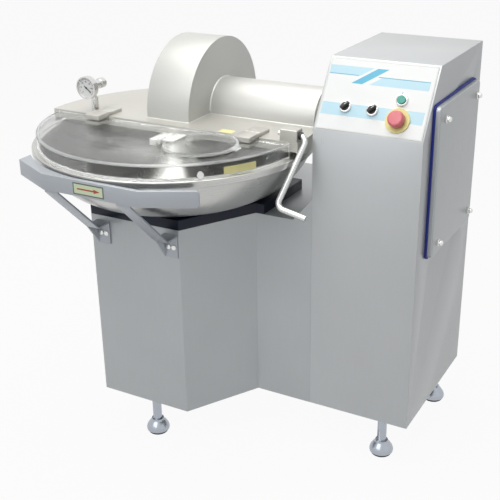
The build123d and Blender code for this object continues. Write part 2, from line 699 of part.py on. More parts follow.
def arm_end_cap():
    """Labyrinth cap that closes the arm towards the knives."""
    x = ARM_END_X
    profile = [
        (x - CAP_LENGTH, KNIFE_SHAFT_R + SEAT),
        (x - CAP_LENGTH, ARM_R - 6),
        (x - CAP_LENGTH + 6, ARM_R),
        (x, ARM_R),
        (x, BEARING_OD / 2),
        (x + 5, BEARING_OD / 2 - SEAT),
        (x + 5, KNIFE_SHAFT_R + SEAT),
    ]
    return turned_x(profile, SHAFT_Y, SHAFT_Z)


# Axial stack on the knife seat, from the shaft's shoulder towards the free end
RING_THICKNESS = 10.0
NUT_LENGTH = 20.0
stack_x = KNIFE_START_X
knife_places = []
ring_places = [(stack_x - RING_THICKNESS, RING_THICKNESS)]
stack_x -= RING_THICKNESS
for index in range(KNIFE_COUNT):
    stack_x -= KNIFE_THICKNESS
    knife_places.append(stack_x)
    ring = KNIFE_SPACER if index < KNIFE_COUNT - 1 else RING_THICKNESS
    stack_x -= ring
    ring_places.append((stack_x, ring))
nut_x = stack_x - NUT_LENGTH
seat_end_x = nut_x - 3


def knife_shaft():
    pulley_end = PULLEY_LEFT + BELT_WIDTH + 10
    profile = [
        (seat_end_x, 0),
        (seat_end_x, KNIFE_SEAT_R),
        (KNIFE_START_X, KNIFE_SEAT_R),
        (KNIFE_START_X, KNIFE_SHAFT_R),
        (pulley_end, KNIFE_SHAFT_R),
        (pulley_end, 0),
    ]
    return turned_x(profile, SHAFT_Y, SHAFT_Z)


def sickle_knife():
    """Curved blade in the (y, z) plane with its hub on the origin; the tip runs on KNIFE_R."""
    tip = (0.13 * KNIFE_R, 0.988 * KNIFE_R)
    heel = (-0.92 * KNIFE_HUB_R, 0.30 * KNIFE_HUB_R)
    root = (0.72 * KNIFE_HUB_R, 0.62 * KNIFE_HUB_R)
    cutting_edge = ThreePointArc(heel, (-0.26 * KNIFE_R, 0.62 * KNIFE_R), tip)
    back = ThreePointArc(tip, (0.05 * KNIFE_R, 0.56 * KNIFE_R), root)
    blade = make_face([cutting_edge, back, Line(root, heel)])
    centre = cutting_edge.arc_center
    edge_r = cutting_edge.radius
    ground = Pos(centre.X, centre.Y) * Cone(edge_r, edge_r - KNIFE_BEVEL, KNIFE_THICKNESS, align=LOW)
    blade_solid = extrude(blade, KNIFE_THICKNESS, dir=(0, 0, 1)) & ground
    hub = Cylinder(KNIFE_HUB_R, KNIFE_THICKNESS, align=LOW)
    bore = Cylinder(KNIFE_SEAT_R + FIT, 4 * KNIFE_THICKNESS)
    return Plane.YZ.location * (blade_solid + hub - bore)


def knife_ring(x, length):
    outer = rod_x(x, x + length, SHAFT_Y, SHAFT_Z, KNIFE_HUB_R - 4)
    return outer - rod_x(x - 1, x + length + 1, SHAFT_Y, SHAFT_Z, KNIFE_SEAT_R + FIT)


def knife_nut():
    """Round clamping nut with six key slots."""
    outer_r = KNIFE_HUB_R - 6
    nut = rod_x(nut_x, nut_x + NUT_LENGTH, SHAFT_Y, SHAFT_Z, outer_r)
    nut -= rod_x(nut_x - 1, nut_x + NUT_LENGTH + 1, SHAFT_Y, SHAFT_Z, KNIFE_SEAT_R + FIT)
    slot = Pos(nut_x + 5, 0, outer_r) * Box(12, 8, 8)
    for turn in range(6):
        nut -= Pos(0, SHAFT_Y, SHAFT_Z) * Rot(60 * turn, 0, 0) * slot
    return nut


def pulley(x, radius, bore_r, y, z):
    """Flanged pulley with grooves for a ribbed belt, turned about an axis parallel to X."""
    rib_pitch = 5.0
    rib_depth = 2.5
    flange = 4.0
    points = [(x - 5, bore_r), (x - 5, radius + 3), (x - 5 + flange, radius + 3), (x - 5 + flange, radius)]
    groove_x = x
    while groove_x + rib_pitch <= x + BELT_WIDTH + 0.01:
        points += [(groove_x, radius), (groove_x + rib_pitch / 2, radius - rib_depth)]
        groove_x += rib_pitch
    far_x = x + BELT_WIDTH + 5
    points += [(groove_x, radius), (far_x - flange, radius), (far_x - flange, radius + 3)]
    points += [(far_x, radius + 3), (far_x, bore_r)]
    return turned_x(points, y, z)


def drive_belt():
    """Flat-backed belt round both pulleys."""
    def loop(extra):
        big = MOTOR_PULLEY_R + BELT_GAP + extra
        small = SHAFT_PULLEY_R + BELT_GAP + extra
        span = SHAFT_Z - MOTOR_AXIS_Z
        lean = (big - small) / span
        level = sqrt(1 - lean ** 2)
        tangents = outline([
            (SHAFT_Y - big * level, MOTOR_AXIS_Z + big * lean),
            (SHAFT_Y + big * level, MOTOR_AXIS_Z + big * lean),
            (SHAFT_Y + small * level, SHAFT_Z + small * lean),
            (SHAFT_Y - small * level, SHAFT_Z + small * lean),
        ])
        return tangents + Pos(SHAFT_Y, MOTOR_AXIS_Z) * Circle(big) + Pos(SHAFT_Y, SHAFT_Z) * Circle(small)
    ring = loop(BELT_THICKNESS) - loop(0)
    return prism_x(ring, PULLEY_LEFT + 1, PULLEY_LEFT + BELT_WIDTH - 1)


save("knife_arm", knife_arm())
save("arm_end_cap", arm_end_cap())
shaft_bearings = [Pos(x, SHAFT_Y, SHAFT_Z) * Rot(0, 90, 0) * bearing(KNIFE_SHAFT_R)
                  for x in (front_bearing_x, rear_bearing_x)]
shaft_bearings += [Pos(BOWL_X, BOWL_Y, z) * bearing(SPINDLE_R) for z in (lower_bearing_z, upper_bearing_z)]
save("shaft_bearings", shaft_bearings)
save("knife_shaft", knife_shaft())
knives = [Pos(x, SHAFT_Y, SHAFT_Z) * Rot(360 * index / KNIFE_COUNT, 0, 0) * sickle_knife()
          for index, x in enumerate(knife_places)]
save("knives", knives)
save("knife_rings", [knife_ring(x, length) for x, length in ring_places])
save("knife_nut", knife_nut())
save("shaft_pulley", pulley(PULLEY_LEFT, SHAFT_PULLEY_R, KNIFE_SHAFT_R + FIT, SHAFT_Y, SHAFT_Z))
save("motor_pulley", pulley(PULLEY_LEFT, MOTOR_PULLEY_R, MOTOR_SHAFT_R + FIT, SHAFT_Y, MOTOR_AXIS_Z))
save("drive_belt", drive_belt())

# ---------------------------------------------------------------------------
# Main motor and control box inside the console
# ---------------------------------------------------------------------------
motor_left = PULLEY_LEFT - 25 - MOTOR_LENGTH + 40
motor_right = PULLEY_LEFT - 12
FIN_COUNT = 24
MOTOR_PLATE = 10.0
MOTOR_PLATE_WIDTH = 240.0
MOTOR_CHANNEL = 20.0
CONTROL_BOX_SIZE = (122.0, 110.0, 250.0)
CONTROL_BOX_RISE = 390.0    # above the cabinet's floor
plate_top = MOTOR_AXIS_Z - MOTOR_R - 8


def main_motor():
    """Foot-mounted motor: finned barrel between two end shields, fan cowl at the back."""
    core_r = MOTOR_R - 8
    profile = [
        (motor_left, MOTOR_SHAFT_R + 1),
        (motor_left, MOTOR_R - 4),
        (motor_left + 35, MOTOR_R - 4),
        (motor_left + 35, core_r),
        (motor_right - 16, core_r),
        (motor_right - 16, MOTOR_R - 4),
        (motor_right - 6, MOTOR_R - 10),
        (motor_right, MOTOR_R - 45),
        (motor_right, MOTOR_SHAFT_R + 1),
    ]
    motor = turned_x(profile, SHAFT_Y, MOTOR_AXIS_Z)
    fin = block(motor_left + 34, motor_right - 15, -1.5, 1.5, core_r - 2, MOTOR_R)
    for turn in range(FIN_COUNT):
        motor += Pos(0, SHAFT_Y, MOTOR_AXIS_Z) * Rot(360 * (turn + 0.5) / FIN_COUNT, 0, 0) * fin
    for side in (-1, 1):
        foot_y = SHAFT_Y + side * 70
        motor += block(motor_left + 50, motor_right - 20, foot_y - 20, foot_y + 20,
                       plate_top, MOTOR_AXIS_Z - 55)
    bore = rod_x(motor_left - 1, motor_right + 1, SHAFT_Y, MOTOR_AXIS_Z, MOTOR_SHAFT_R + 1)
    return motor - bore


def motor_plate():
    """Slotted plate on two channels that stand on the console's floor."""
    half = MOTOR_PLATE_WIDTH / 2
    plate = block(motor_left, motor_right, SHAFT_Y - half, SHAFT_Y + half, plate_top - MOTOR_PLATE, plate_top)
    for x in (motor_left + MOTOR_CHANNEL, motor_right - 2 * MOTOR_CHANNEL):
        plate += block(x, x + MOTOR_CHANNEL, SHAFT_Y - half + 10, SHAFT_Y + half - 10,
                       BODY_Z + SHEET, plate_top - MOTOR_PLATE)
    return plate


save("main_motor", main_motor())
save("motor_plate", motor_plate())
save("motor_shaft", rod_x(motor_left + 2, PULLEY_LEFT + BELT_WIDTH + 8, SHAFT_Y, MOTOR_AXIS_Z, MOTOR_SHAFT_R))
box_x, box_y, box_z = CONTROL_BOX_SIZE
box_bottom = BODY_Z + CONTROL_BOX_RISE
control_box = block(CONSOLE_LEFT + SHEET, CONSOLE_LEFT + SHEET + box_x, CONSOLE_BACK - 20 - box_y,
                    CONSOLE_BACK - 20, box_bottom, box_bottom + box_z)
save("control_box", fillet(control_box.edges().filter_by(Axis.Z), SHEET))

# ---------------------------------------------------------------------------
# Steel cover with knife hood and shaft tube; hinged at the back
# ---------------------------------------------------------------------------
HOOD_CLEAR = 2.0            # cover's cut-out inside the hood's walls
SHAFT_SLOT_R = 32.0
ARM_SLOT_R = ARM_R + 4.0
CHORD_FLANGE = 24.0
ear_spread = COVER_HINGE_SPREAD + HINGE_POST_WIDTH / 2 + 1 + HINGE_EAR
EAR_LENGTH = COVER_HINGE_REACH - ring_rise(COVER_R - SHEET, ear_spread)
skirt_bottom = RIM_Z + COVER_GAP
tube_mid = (HOOD_RIGHT + TUBE_RIGHT) / 2


def arch(radius):
    """Half circle about the knife axis whose straight legs end on the cover, in (y, z)."""
    legs = Pos(SHAFT_Y, (COVER_TOP + SHAFT_Z) / 2) * Rectangle(2 * radius, SHAFT_Z - COVER_TOP)
    below = Pos(SHAFT_Y, SHAFT_Z - radius) * Rectangle(2 * radius, 2 * radius)
    return (Pos(SHAFT_Y, SHAFT_Z) * Circle(radius) - below) + legs


def knife_hood():
    """Drum-shaped hood over the knives, open below."""
    outer = prism_x(arch(HOOD_R), HOOD_LEFT, HOOD_RIGHT)
    inner = prism_x(arch(HOOD_R - THIN_SHEET), HOOD_LEFT + THIN_SHEET, HOOD_RIGHT - THIN_SHEET)
    slot = prism_x(arch(SHAFT_SLOT_R), HOOD_RIGHT - 2 * THIN_SHEET, HOOD_RIGHT + THIN_SHEET)
    return outer - inner - slot


def shaft_tube():
    """Half-round cover over the bearing arm, closed at its right end but for the arm."""
    outer = prism_x(arch(TUBE_R), HOOD_RIGHT, TUBE_RIGHT)
    inner = prism_x(arch(TUBE_R - THIN_SHEET), HOOD_RIGHT, TUBE_RIGHT - THIN_SHEET)
    slot = prism_x(arch(ARM_SLOT_R), TUBE_RIGHT - 2 * THIN_SHEET, TUBE_RIGHT + THIN_SHEET)
    return outer - inner - slot


def rear_cover():
    """D-shaped sheet cover with a skirt, a folded front edge and two hinge ears at the back."""
    keep = block(BOWL_X - COVER_R, BOWL_X + COVER_R, CHORD_Y, BOWL_Y + COVER_R, skirt_bottom, COVER_TOP)
    disc = rod_z(BOWL_X, BOWL_Y, skirt_bottom, COVER_TOP, COVER_R)
    hollow = rod_z(BOWL_X, BOWL_Y, skirt_bottom, COVER_TOP - SHEET, COVER_R - SHEET)
    cover = (disc - hollow) & keep
    half_chord = sqrt((COVER_R - 1) ** 2 - (BOWL_Y - CHORD_Y) ** 2)
    cover += block(BOWL_X - half_chord, BOWL_X + half_chord, CHORD_Y, CHORD_Y + SHEET,
                   COVER_TOP - CHORD_FLANGE, COVER_TOP)
    cover -= block(HOOD_LEFT + HOOD_CLEAR, HOOD_RIGHT - HOOD_CLEAR, SHAFT_Y - HOOD_R + HOOD_CLEAR,
                   SHAFT_Y + HOOD_R - HOOD_CLEAR, skirt_bottom - 1, COVER_TOP + 1)
    cover -= block(HOOD_RIGHT - 3 * HOOD_CLEAR, TUBE_RIGHT - HOOD_CLEAR, SHAFT_Y - TUBE_R + HOOD_CLEAR,
                   SHAFT_Y + TUBE_R - HOOD_CLEAR, skirt_bottom - 1, COVER_TOP + 1)
    cover -= block(TUBE_RIGHT - 2 * HOOD_CLEAR, BOWL_X + COVER_R + 5, SHAFT_Y - ARM_SLOT_R,
                   SHAFT_Y + ARM_SLOT_R, skirt_bottom - 1, COVER_TOP + 1)
    for hinge_x in COVER_HINGE_X:
        for side in (-1, 1):
            ear_x = hinge_x + side * (HINGE_POST_WIDTH / 2 + 1 + HINGE_EAR / 2)
            cover += hinge_ear(ear_x)
    return cover


def hinge_ear(ear_x):
    """Plate from the skirt to the hinge pin."""
    x0 = ear_x - HINGE_EAR / 2
    x1 = ear_x + HINGE_EAR / 2
    plate = block(x0, x1, COVER_HINGE_Y - EAR_LENGTH, COVER_HINGE_Y, COVER_HINGE_Z - HINGE_KNUCKLE_R + 2,
                  COVER_HINGE_Z + HINGE_KNUCKLE_R)
    knuckle = rod_x(x0, x1, COVER_HINGE_Y, COVER_HINGE_Z, HINGE_KNUCKLE_R)
    inside = rod_z(BOWL_X, BOWL_Y, COVER_HINGE_Z - 20, COVER_HINGE_Z + 20, COVER_R - SHEET + 0.5)
    bore = rod_x(x0 - 1, x1 + 1, COVER_HINGE_Y, COVER_HINGE_Z, HINGE_PIN_R + FIT)
    return plate - inside + knuckle - bore


def hinge_post(hinge_x):
    """Post on the base with the fixed knuckle at its top."""
    x0 = hinge_x - HINGE_POST_WIDTH / 2
    x1 = hinge_x + HINGE_POST_WIDTH / 2
    post = block(x0, x1, COVER_HINGE_Y - HINGE_KNUCKLE_R, COVER_HINGE_Y + HINGE_KNUCKLE_R,
                 BASE_TOP, COVER_HINGE_Z)
    foot = block(x0 - 20, x1 + 20, COVER_HINGE_Y - 22, COVER_HINGE_Y + 18, BASE_TOP, BASE_TOP + 8)
    knuckle = rod_x(x0, x1, COVER_HINGE_Y, COVER_HINGE_Z, HINGE_KNUCKLE_R)
    bore = rod_x(x0 - 1, x1 + 1, COVER_HINGE_Y, COVER_HINGE_Z, HINGE_PIN_R + FIT)
    return post + foot + knuckle - bore


def hinge_pin(hinge_x):
    """Pin with a head on both ends."""
    reach = HINGE_POST_WIDTH / 2 + HINGE_EAR + 2
    pin = rod_x(hinge_x - reach, hinge_x + reach, COVER_HINGE_Y, COVER_HINGE_Z, HINGE_PIN_R)
    for side in (-1, 1):
        x = hinge_x + side * reach
        pin += rod_x(x - 0.5 + side * 2, x + 0.5 + side * 2, COVER_HINGE_Y, COVER_HINGE_Z, HINGE_PIN_R + 3)
        pin += rod_x(min(x, x + side * 2), max(x, x + side * 2), COVER_HINGE_Y, COVER_HINGE_Z, HINGE_PIN_R)
    return pin


save("rear_cover", rear_cover())
save("knife_hood", knife_hood())
save("shaft_tube", shaft_tube())
save("cover_hinge_posts", [hinge_post(x) for x in COVER_HINGE_X])
save("cover_hinge_pins", [hinge_pin(x) for x in COVER_HINGE_X])

# ---------------------------------------------------------------------------
# Clear lid, its hinges and its filling port
# ---------------------------------------------------------------------------
LEAF_THICKNESS = 8.0
LEAF_DEPTH = 48.0
BLOCK_DEPTH = 50.0
CLAMP_THICKNESS = 8.0
HINGE_SPLIT = 1.0           # gap between the moving and fixed knuckles
PORT_HINGE_X = PORT_X - PORT_R - PORT_RING_WIDTH - 8.0
PORT_HINGE_LENGTH = 62.0
PORT_KNUCKLE_R = 6.0
port_top = LID_TOP + PORT_RING_HEIGHT
PORT_HINGE_Z = port_top + SEAT + PORT_LID_THICKNESS / 2


def acrylic_lid():
    """D-shaped clear tray with a skirt along its round edge and a hole for the port."""
    bottom = LID_TOP - LID_HEIGHT
    keep = block(BOWL_X - LID_R, BOWL_X + LID_R, BOWL_Y - LID_R, LID_CHORD, bottom, LID_TOP)
    disc = rod_z(BOWL_X, BOWL_Y, bottom, LID_TOP, LID_R)
    disc = fillet(disc.edges().group_by(Axis.Z)[-1], 4)
    hollow = rod_z(BOWL_X, BOWL_Y, bottom, LID_TOP - LID_SHEET, LID_R - LID_SHEET)
    return ((disc - hollow) & keep) - rod_z(PORT_X, PORT_Y, bottom, LID_TOP + 1, PORT_R)


def lid_hinge_leaf(x):
    """Fixed leaf on the steel cover with the two outer knuckles and the pin."""
    half = LID_HINGE_WIDTH / 2
    knuckle = LID_HINGE_WIDTH / 3
    leaf = block(x - half, x + half, LID_HINGE_Y + LID_KNUCKLE_R + 2, LID_HINGE_Y + LEAF_DEPTH,
                 COVER_TOP, COVER_TOP + LEAF_THICKNESS)
    for side in (-1, 1):
        inner = x + side * (knuckle / 2 + HINGE_SPLIT)
        outer = x + side * half
        leaf += rod_x(min(inner, outer), max(inner, outer), LID_HINGE_Y, LID_HINGE_Z, LID_KNUCKLE_R)
        leaf += block(min(inner, outer), max(inner, outer), LID_HINGE_Y, LID_HINGE_Y + LID_KNUCKLE_R + 3,
                      LID_HINGE_Z - 3, LID_HINGE_Z + 2)
    return leaf + rod_x(x - half, x + half, LID_HINGE_Y, LID_HINGE_Z, 2.5)


def lid_hinge_block(x):
    """Moving block on the lid with the middle knuckle."""
    half = LID_HINGE_WIDTH / 2
    knuckle = LID_HINGE_WIDTH / 3
    back = LID_HINGE_Y - LID_KNUCKLE_R - 1
    top = LID_HINGE_Z + LID_KNUCKLE_R
    body = block(x - half, x + half, back - BLOCK_DEPTH, LID_CHORD, LID_TOP, top)
    body += block(x - half, x + half, LID_CHORD, back, COVER_TOP + HINGE_SPLIT, top)
    tongue = block(x - knuckle / 2, x + knuckle / 2, back - 1, LID_HINGE_Y, LID_HINGE_Z - 2, LID_HINGE_Z + 3)
    barrel = rod_x(x - knuckle / 2, x + knuckle / 2, LID_HINGE_Y, LID_HINGE_Z, LID_KNUCKLE_R)
    bore = rod_x(x - half, x + half, LID_HINGE_Y, LID_HINGE_Z, 2.5 + FIT)
    return body + tongue + barrel - bore


def lid_clamp(x):
    """Plate under the lid, opposite its hinge block."""
    half = LID_HINGE_WIDTH / 2
    back = LID_CHORD - 2
    front = LID_HINGE_Y - LID_KNUCKLE_R - 1 - BLOCK_DEPTH
    return block(x - half, x + half, front, back, LID_TOP - LID_SHEET - CLAMP_THICKNESS, LID_TOP - LID_SHEET)


def port_ring():
    """Stepped ring round the port."""
    outer_r = PORT_R + PORT_RING_WIDTH
    profile = [
        (PORT_R, LID_TOP),
        (outer_r, LID_TOP),
        (outer_r, port_top - 2),
        (outer_r - 2, port_top),
        (PORT_R, port_top),
    ]
    return turned_z(profile, PORT_X, PORT_Y)


def port_lid():
    """Clear disc with a finger tab at the side away from its hinge."""
    z0 = port_top + SEAT
    disc = rod_z(PORT_X, PORT_Y, z0, z0 + PORT_LID_THICKNESS, PORT_R + PORT_RING_WIDTH - 1)
    tab = block(PORT_X + PORT_R, PORT_X + PORT_R + 22, PORT_Y - 12, PORT_Y + 12, z0, z0 + PORT_LID_THICKNESS)
    return disc + tab


def port_hinge_base():
    """White block on the lid with the two outer knuckles."""
    y0 = PORT_Y - PORT_HINGE_LENGTH / 2
    third = PORT_HINGE_LENGTH / 3
    x = PORT_HINGE_X
    base = block(x - 26, x - PORT_KNUCKLE_R - 1, y0, y0 + PORT_HINGE_LENGTH, LID_TOP, PORT_HINGE_Z + 3)
    for start in (y0, y0 + 2 * third + HINGE_SPLIT):
        end = start + third - HINGE_SPLIT
        base += rod_y(x, start, end, PORT_HINGE_Z, PORT_KNUCKLE_R)
        base += block(x - PORT_KNUCKLE_R - 2, x, start, end, PORT_HINGE_Z - 4, PORT_HINGE_Z + 3)
    return base + rod_y(x, y0, y0 + PORT_HINGE_LENGTH, PORT_HINGE_Z, 2.5)


def port_hinge_flap():
    """White strap on the port lid with the middle knuckle."""
    third = PORT_HINGE_LENGTH / 3
    y0 = PORT_Y - third / 2
    x = PORT_HINGE_X
    z0 = port_top + SEAT + PORT_LID_THICKNESS
    barrel = rod_y(x, y0, y0 + third, PORT_HINGE_Z, PORT_KNUCKLE_R)
    neck = block(x, x + 20, y0, y0 + third, z0, z0 + 4)
    strap = block(x + 12, x + 44, PORT_Y - PORT_HINGE_LENGTH / 2, PORT_Y + PORT_HINGE_LENGTH / 2, z0, z0 + 4)
    return barrel + neck + strap - rod_y(x, y0 - 1, y0 + third + 1, PORT_HINGE_Z, 2.5 + FIT)


def lid_catch():
    """Small catch on the front of the lid's skirt."""
    angle = radians(-48)
    reach = LID_R - 1
    place = Pos(BOWL_X + reach * cos(angle), BOWL_Y + reach * sin(angle), LID_TOP - 24)
    place = place * Rot(0, 0, degrees(angle))
    stem = Rot(0, 90, 0) * Cylinder(5, 8, align=LOW)
    head = Pos(8, 0, 0) * Rot(0, 90, 0) * Cylinder(8, 6, align=LOW)
    return place * Pos(1.0, 0, 0) * (stem + head)


save("acrylic_lid", acrylic_lid())
save("lid_hinge_leaves", [lid_hinge_leaf(x) for x in LID_HINGE_X])
save("lid_hinge_blocks", [lid_hinge_block(x) for x in LID_HINGE_X] + [lid_clamp(x) for x in LID_HINGE_X])
save("port_ring", port_ring())
save("port_lid", port_lid())
save("port_hinge_base", port_hinge_base())
save("port_hinge_flap", port_hinge_flap())
save("lid_catch", lid_catch())

# ---------------------------------------------------------------------------
# Locking lever, thermometer
# ---------------------------------------------------------------------------
LEVER_R = 7.5
LEVER_SETBACK = 18.0        # pivot behind the cover's front edge
LEVER_RISE = 14.0           # pivot above the cover's top
LEVER_LEFT = 150.0
LEVER_TURN_X = 228.0
LEVER_LOW_X = 191.0
LEVER_GRIP_X = 270.0
LEVER_REACH = 98.0          # grip in front of the pivot
LEVER_DROP = 154.0          # leg's lower end below the pivot
LEVER_GRIP_DROP = 171.0
LEVER_BEND = 18.0
LEVER_BLOCK_WIDTH = 46.0
LEVER_BLOCK_RIGHT = 205.0
LEVER_BLOCK_WALL = 8.0      # round the lever's bore
lever_y = CHORD_Y + LEVER_SETBACK
lever_z = COVER_TOP + LEVER_RISE


def lever_bracket():
    """Bearing block on the cover for the lever."""
    reach = LEVER_R + LEVER_BLOCK_WALL
    body = block(LEVER_BLOCK_RIGHT - LEVER_BLOCK_WIDTH, LEVER_BLOCK_RIGHT, lever_y - reach, lever_y + reach,
                 COVER_TOP, lever_z + reach)
    body = chamfer(body.edges().group_by(Axis.Z)[-1], 1.5)
    return body - rod_x(LEVER_LEFT - 10, LEVER_BLOCK_RIGHT + 1, lever_y, lever_z, LEVER_R + FIT)


def locking_lever():
    """Bent round bar: pivot, long leg and hand grip."""
    path = FilletPolyline(
        (LEVER_LEFT, lever_y, lever_z),
        (LEVER_TURN_X, lever_y, lever_z),
        (LEVER_LOW_X, lever_y - LEVER_REACH, lever_z - LEVER_DROP),
        (LEVER_GRIP_X, lever_y - LEVER_REACH, lever_z - LEVER_GRIP_DROP),
        radius=LEVER_BEND,
    )
    section = Plane((LEVER_LEFT, lever_y, lever_z), z_dir=(1, 0, 0)) * Circle(LEVER_R)
    return sweep(section, path=path)


GAUGE_X = -425.0
GAUGE_SETBACK = 32.0        # stem behind the cover's front edge
GAUGE_STEM_R = 10.0
GAUGE_STEM_HEIGHT = 40.0
GAUGE_HEAD_RISE = 70.0      # dial's centre above the cover
GAUGE_R = 31.0
GAUGE_FRONT = 36.0          # dial's face in front of the stem
GAUGE_CASE_DEPTH = 16.0
GAUGE_RIM = 3.0
NEEDLE_ANGLE = 38.0
gauge_y = CHORD_Y + GAUGE_SETBACK
gauge_z = COVER_TOP + GAUGE_HEAD_RISE
gauge_face = gauge_y - GAUGE_FRONT


def thermometer_case():
    """Dial thermometer: stem, swivel head with lock knob, and a case with a recessed dial."""
    stem = rod_z(GAUGE_X, gauge_y, COVER_TOP, COVER_TOP + GAUGE_STEM_HEIGHT, GAUGE_STEM_R)
    neck = rod_z(GAUGE_X, gauge_y, COVER_TOP + GAUGE_STEM_HEIGHT - 1, gauge_z, 6)
    swivel = rod_y(GAUGE_X, gauge_face + GAUGE_CASE_DEPTH - 1, gauge_y + 24, gauge_z, 12)
    knob = rod_y(GAUGE_X, gauge_y + 23, gauge_y + 40, gauge_z, 14)
    case = rod_y(GAUGE_X, gauge_face, gauge_face + GAUGE_CASE_DEPTH, gauge_z, GAUGE_R)
    dial = rod_y(GAUGE_X, gauge_face - 1, gauge_face + 4, gauge_z, GAUGE_R - GAUGE_RIM)
    return stem + neck + swivel + knob + case - dial


def thermometer_needle():
    """Needle on its hub, just clear of the dial."""
    y0 = gauge_face + 4 - SEAT - 1.2
    hub = rod_y(GAUGE_X, y0, y0 + 1.2, gauge_z, 2.5)
    hand = Pos(GAUGE_X, y0 + 0.6, gauge_z) * Rot(0, NEEDLE_ANGLE, 0) * Pos(5, 0, 0) * Box(26, 1.0, 2.0)
    return hub + hand


save("lever_bracket", lever_bracket())
save("locking_lever", locking_lever())
save("thermometer_case", thermometer_case())
save("thermometer_needle", thermometer_needle())

# ---------------------------------------------------------------------------
# Hand guard in front of the bowl
# ---------------------------------------------------------------------------
GUARD_GAP = 16.0            # in front of the bowl's rim
GUARD_OFFSET = 12.0         # its middle to the right of the bowl's axis
GUARD_HALF_FRONT = 138.0
GUARD_HALF_WIDTH = 263.0
GUARD_WING = 62.0
GUARD_DROP = 46.0           # its lower edge below the bowl's rim
GUARD_HEIGHT = 40.0
GUARD_FLANGE = 11.0
GUARD_SHELF_GAP = 6.0       # between the left wing's shelf and the bowl's rim
GUARD_CORNER = 9.0
STRUT_X = 105.0
STRUT_WIDTH = 40.0
STRUT_THICKNESS = 5.0
STRUT_BEND_DROP = 6.0       # bend below the guard's lower edge
STRUT_FOOT_DROP = 17.0      # below the base's top
STRUT_FOOT_REACH = 46.0     # bend in front of the pedestal
BRACKET_HEIGHT = 58.0
BRACKET_PLATE = 4.0
BRACKET_WEB = 5.0
BOLT_ACROSS = 13.0
BOLT_PLACES = (15.0, 31.0)  # from the bracket's left edge
BOLT_DROP = 28.0            # below the strut's foot
guard_x = BOWL_X + GUARD_OFFSET
guard_left = guard_x - GUARD_HALF_WIDTH
guard_right = guard_x + GUARD_HALF_WIDTH
guard_front = BOWL_Y - BOWL_R - GUARD_GAP
guard_bottom = RIM_Z - GUARD_DROP
guard_top = guard_bottom + GUARD_HEIGHT
strut_foot_z = BASE_TOP - STRUT_FOOT_DROP


def guard_path(inset):
    """Plan of the guard, moved inwards by inset: a front between two wings."""
    front = guard_front + inset
    wing_y = front + GUARD_WING
    return [
        (guard_left, wing_y),
        (guard_x - GUARD_HALF_FRONT, front),
        (guard_x + GUARD_HALF_FRONT, front),
        (guard_right, wing_y),
    ]


def guard_band(width):
    outer = guard_path(0)
    inner = guard_path(width)
    return outline(outer + inner[::-1])


def guard_shelf():
    """Plan of the flange that fills the left wing up to the bowl's rim."""
    reach = outline(guard_path(0)[:2] + [(BOWL_X, guard_front), (BOWL_X, BOWL_Y), (guard_left, BOWL_Y)])
    return reach - Pos(BOWL_X, BOWL_Y) * Circle(BOWL_R + GUARD_SHELF_GAP)


def hand_guard():
    """Bent plate: upright band with a flange turned inwards at the top, rounded at its right end."""
    band = prism_z(guard_band(SHEET), guard_bottom, guard_top)
    flange = prism_z(guard_band(GUARD_FLANGE) + guard_shelf(), guard_top - SHEET, guard_top)
    width = 2 * GUARD_HALF_WIDTH + 2 * GUARD_CORNER
    rounded = Pos(guard_right - width / 2, guard_top - GUARD_HEIGHT / 2)
    rounded = rounded * RectangleRounded(width, GUARD_HEIGHT, GUARD_CORNER)
    return (band + flange) & prism_y(rounded, guard_front - 1, BOWL_Y)


def guard_strut(x):
    """Flat bar folded twice: upright behind the guard, then sloping, then flat on its bracket."""
    front = guard_front + SHEET
    side = Polyline(
        (front, guard_top - SHEET - 2),
        (front, guard_bottom - STRUT_BEND_DROP),
        (PEDESTAL_FRONT - STRUT_FOOT_REACH, strut_foot_z),
        (PEDESTAL_FRONT, strut_foot_z),
    )
    bar = make_face(offset(side, STRUT_THICKNESS, side=Side.LEFT, kind=Kind.INTERSECTION))
    return prism_x(bar, x - STRUT_WIDTH / 2, x + STRUT_WIDTH / 2)


def guard_bracket(x):
    """Bracket under the strut's foot: a back plate on the pedestal and a web at its left edge."""
    left = x - STRUT_WIDTH / 2
    plate_y = PEDESTAL_FRONT - BRACKET_PLATE
    bottom = strut_foot_z - BRACKET_HEIGHT
    back = block(left, left + STRUT_WIDTH, plate_y, PEDESTAL_FRONT, bottom, strut_foot_z)
    web = prism_x(outline([
        (plate_y, bottom),
        (plate_y, strut_foot_z),
        (PEDESTAL_FRONT - STRUT_FOOT_REACH, strut_foot_z),
    ]), left, left + BRACKET_WEB)
    return back + web


def guard_bolt(x, y, z):
    """Hexagon head facing the operator."""
    return Pos(x, y, z) * Rot(90, 0, 0) * hexagon_prism(BOLT_ACROSS, 5)


strut_x = (BOWL_X - STRUT_X, BOWL_X + STRUT_X)
save("hand_guard", hand_guard())
save("guard_struts", [guard_strut(x) for x in strut_x])
save("guard_brackets", [guard_bracket(x) for x in strut_x])
save("guard_bolts", [
    guard_bolt(x - STRUT_WIDTH / 2 + place, PEDESTAL_FRONT - BRACKET_PLATE, strut_foot_z - BOLT_DROP)
    for x in strut_x for place in BOLT_PLACES])
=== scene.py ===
# %% [markdown]
# # A meat bowl cutter, dressed for the studio
# The machine comes in as a frame of solid parts that already have their true sizes and joints.
# This notebook gives each part the finish of the real one: brushed sheet, polished bowl, clear lid,
# rubber seals and plastic controls. Everything is in metres, and each piece stays where its part is.

# %% Load the frame
import json
from math import acos, cos, degrees, pi, radians, sin, sqrt

import bmesh
import bpy
from mathutils import Matrix, Vector
from mathutils.bvhtree import BVHTree


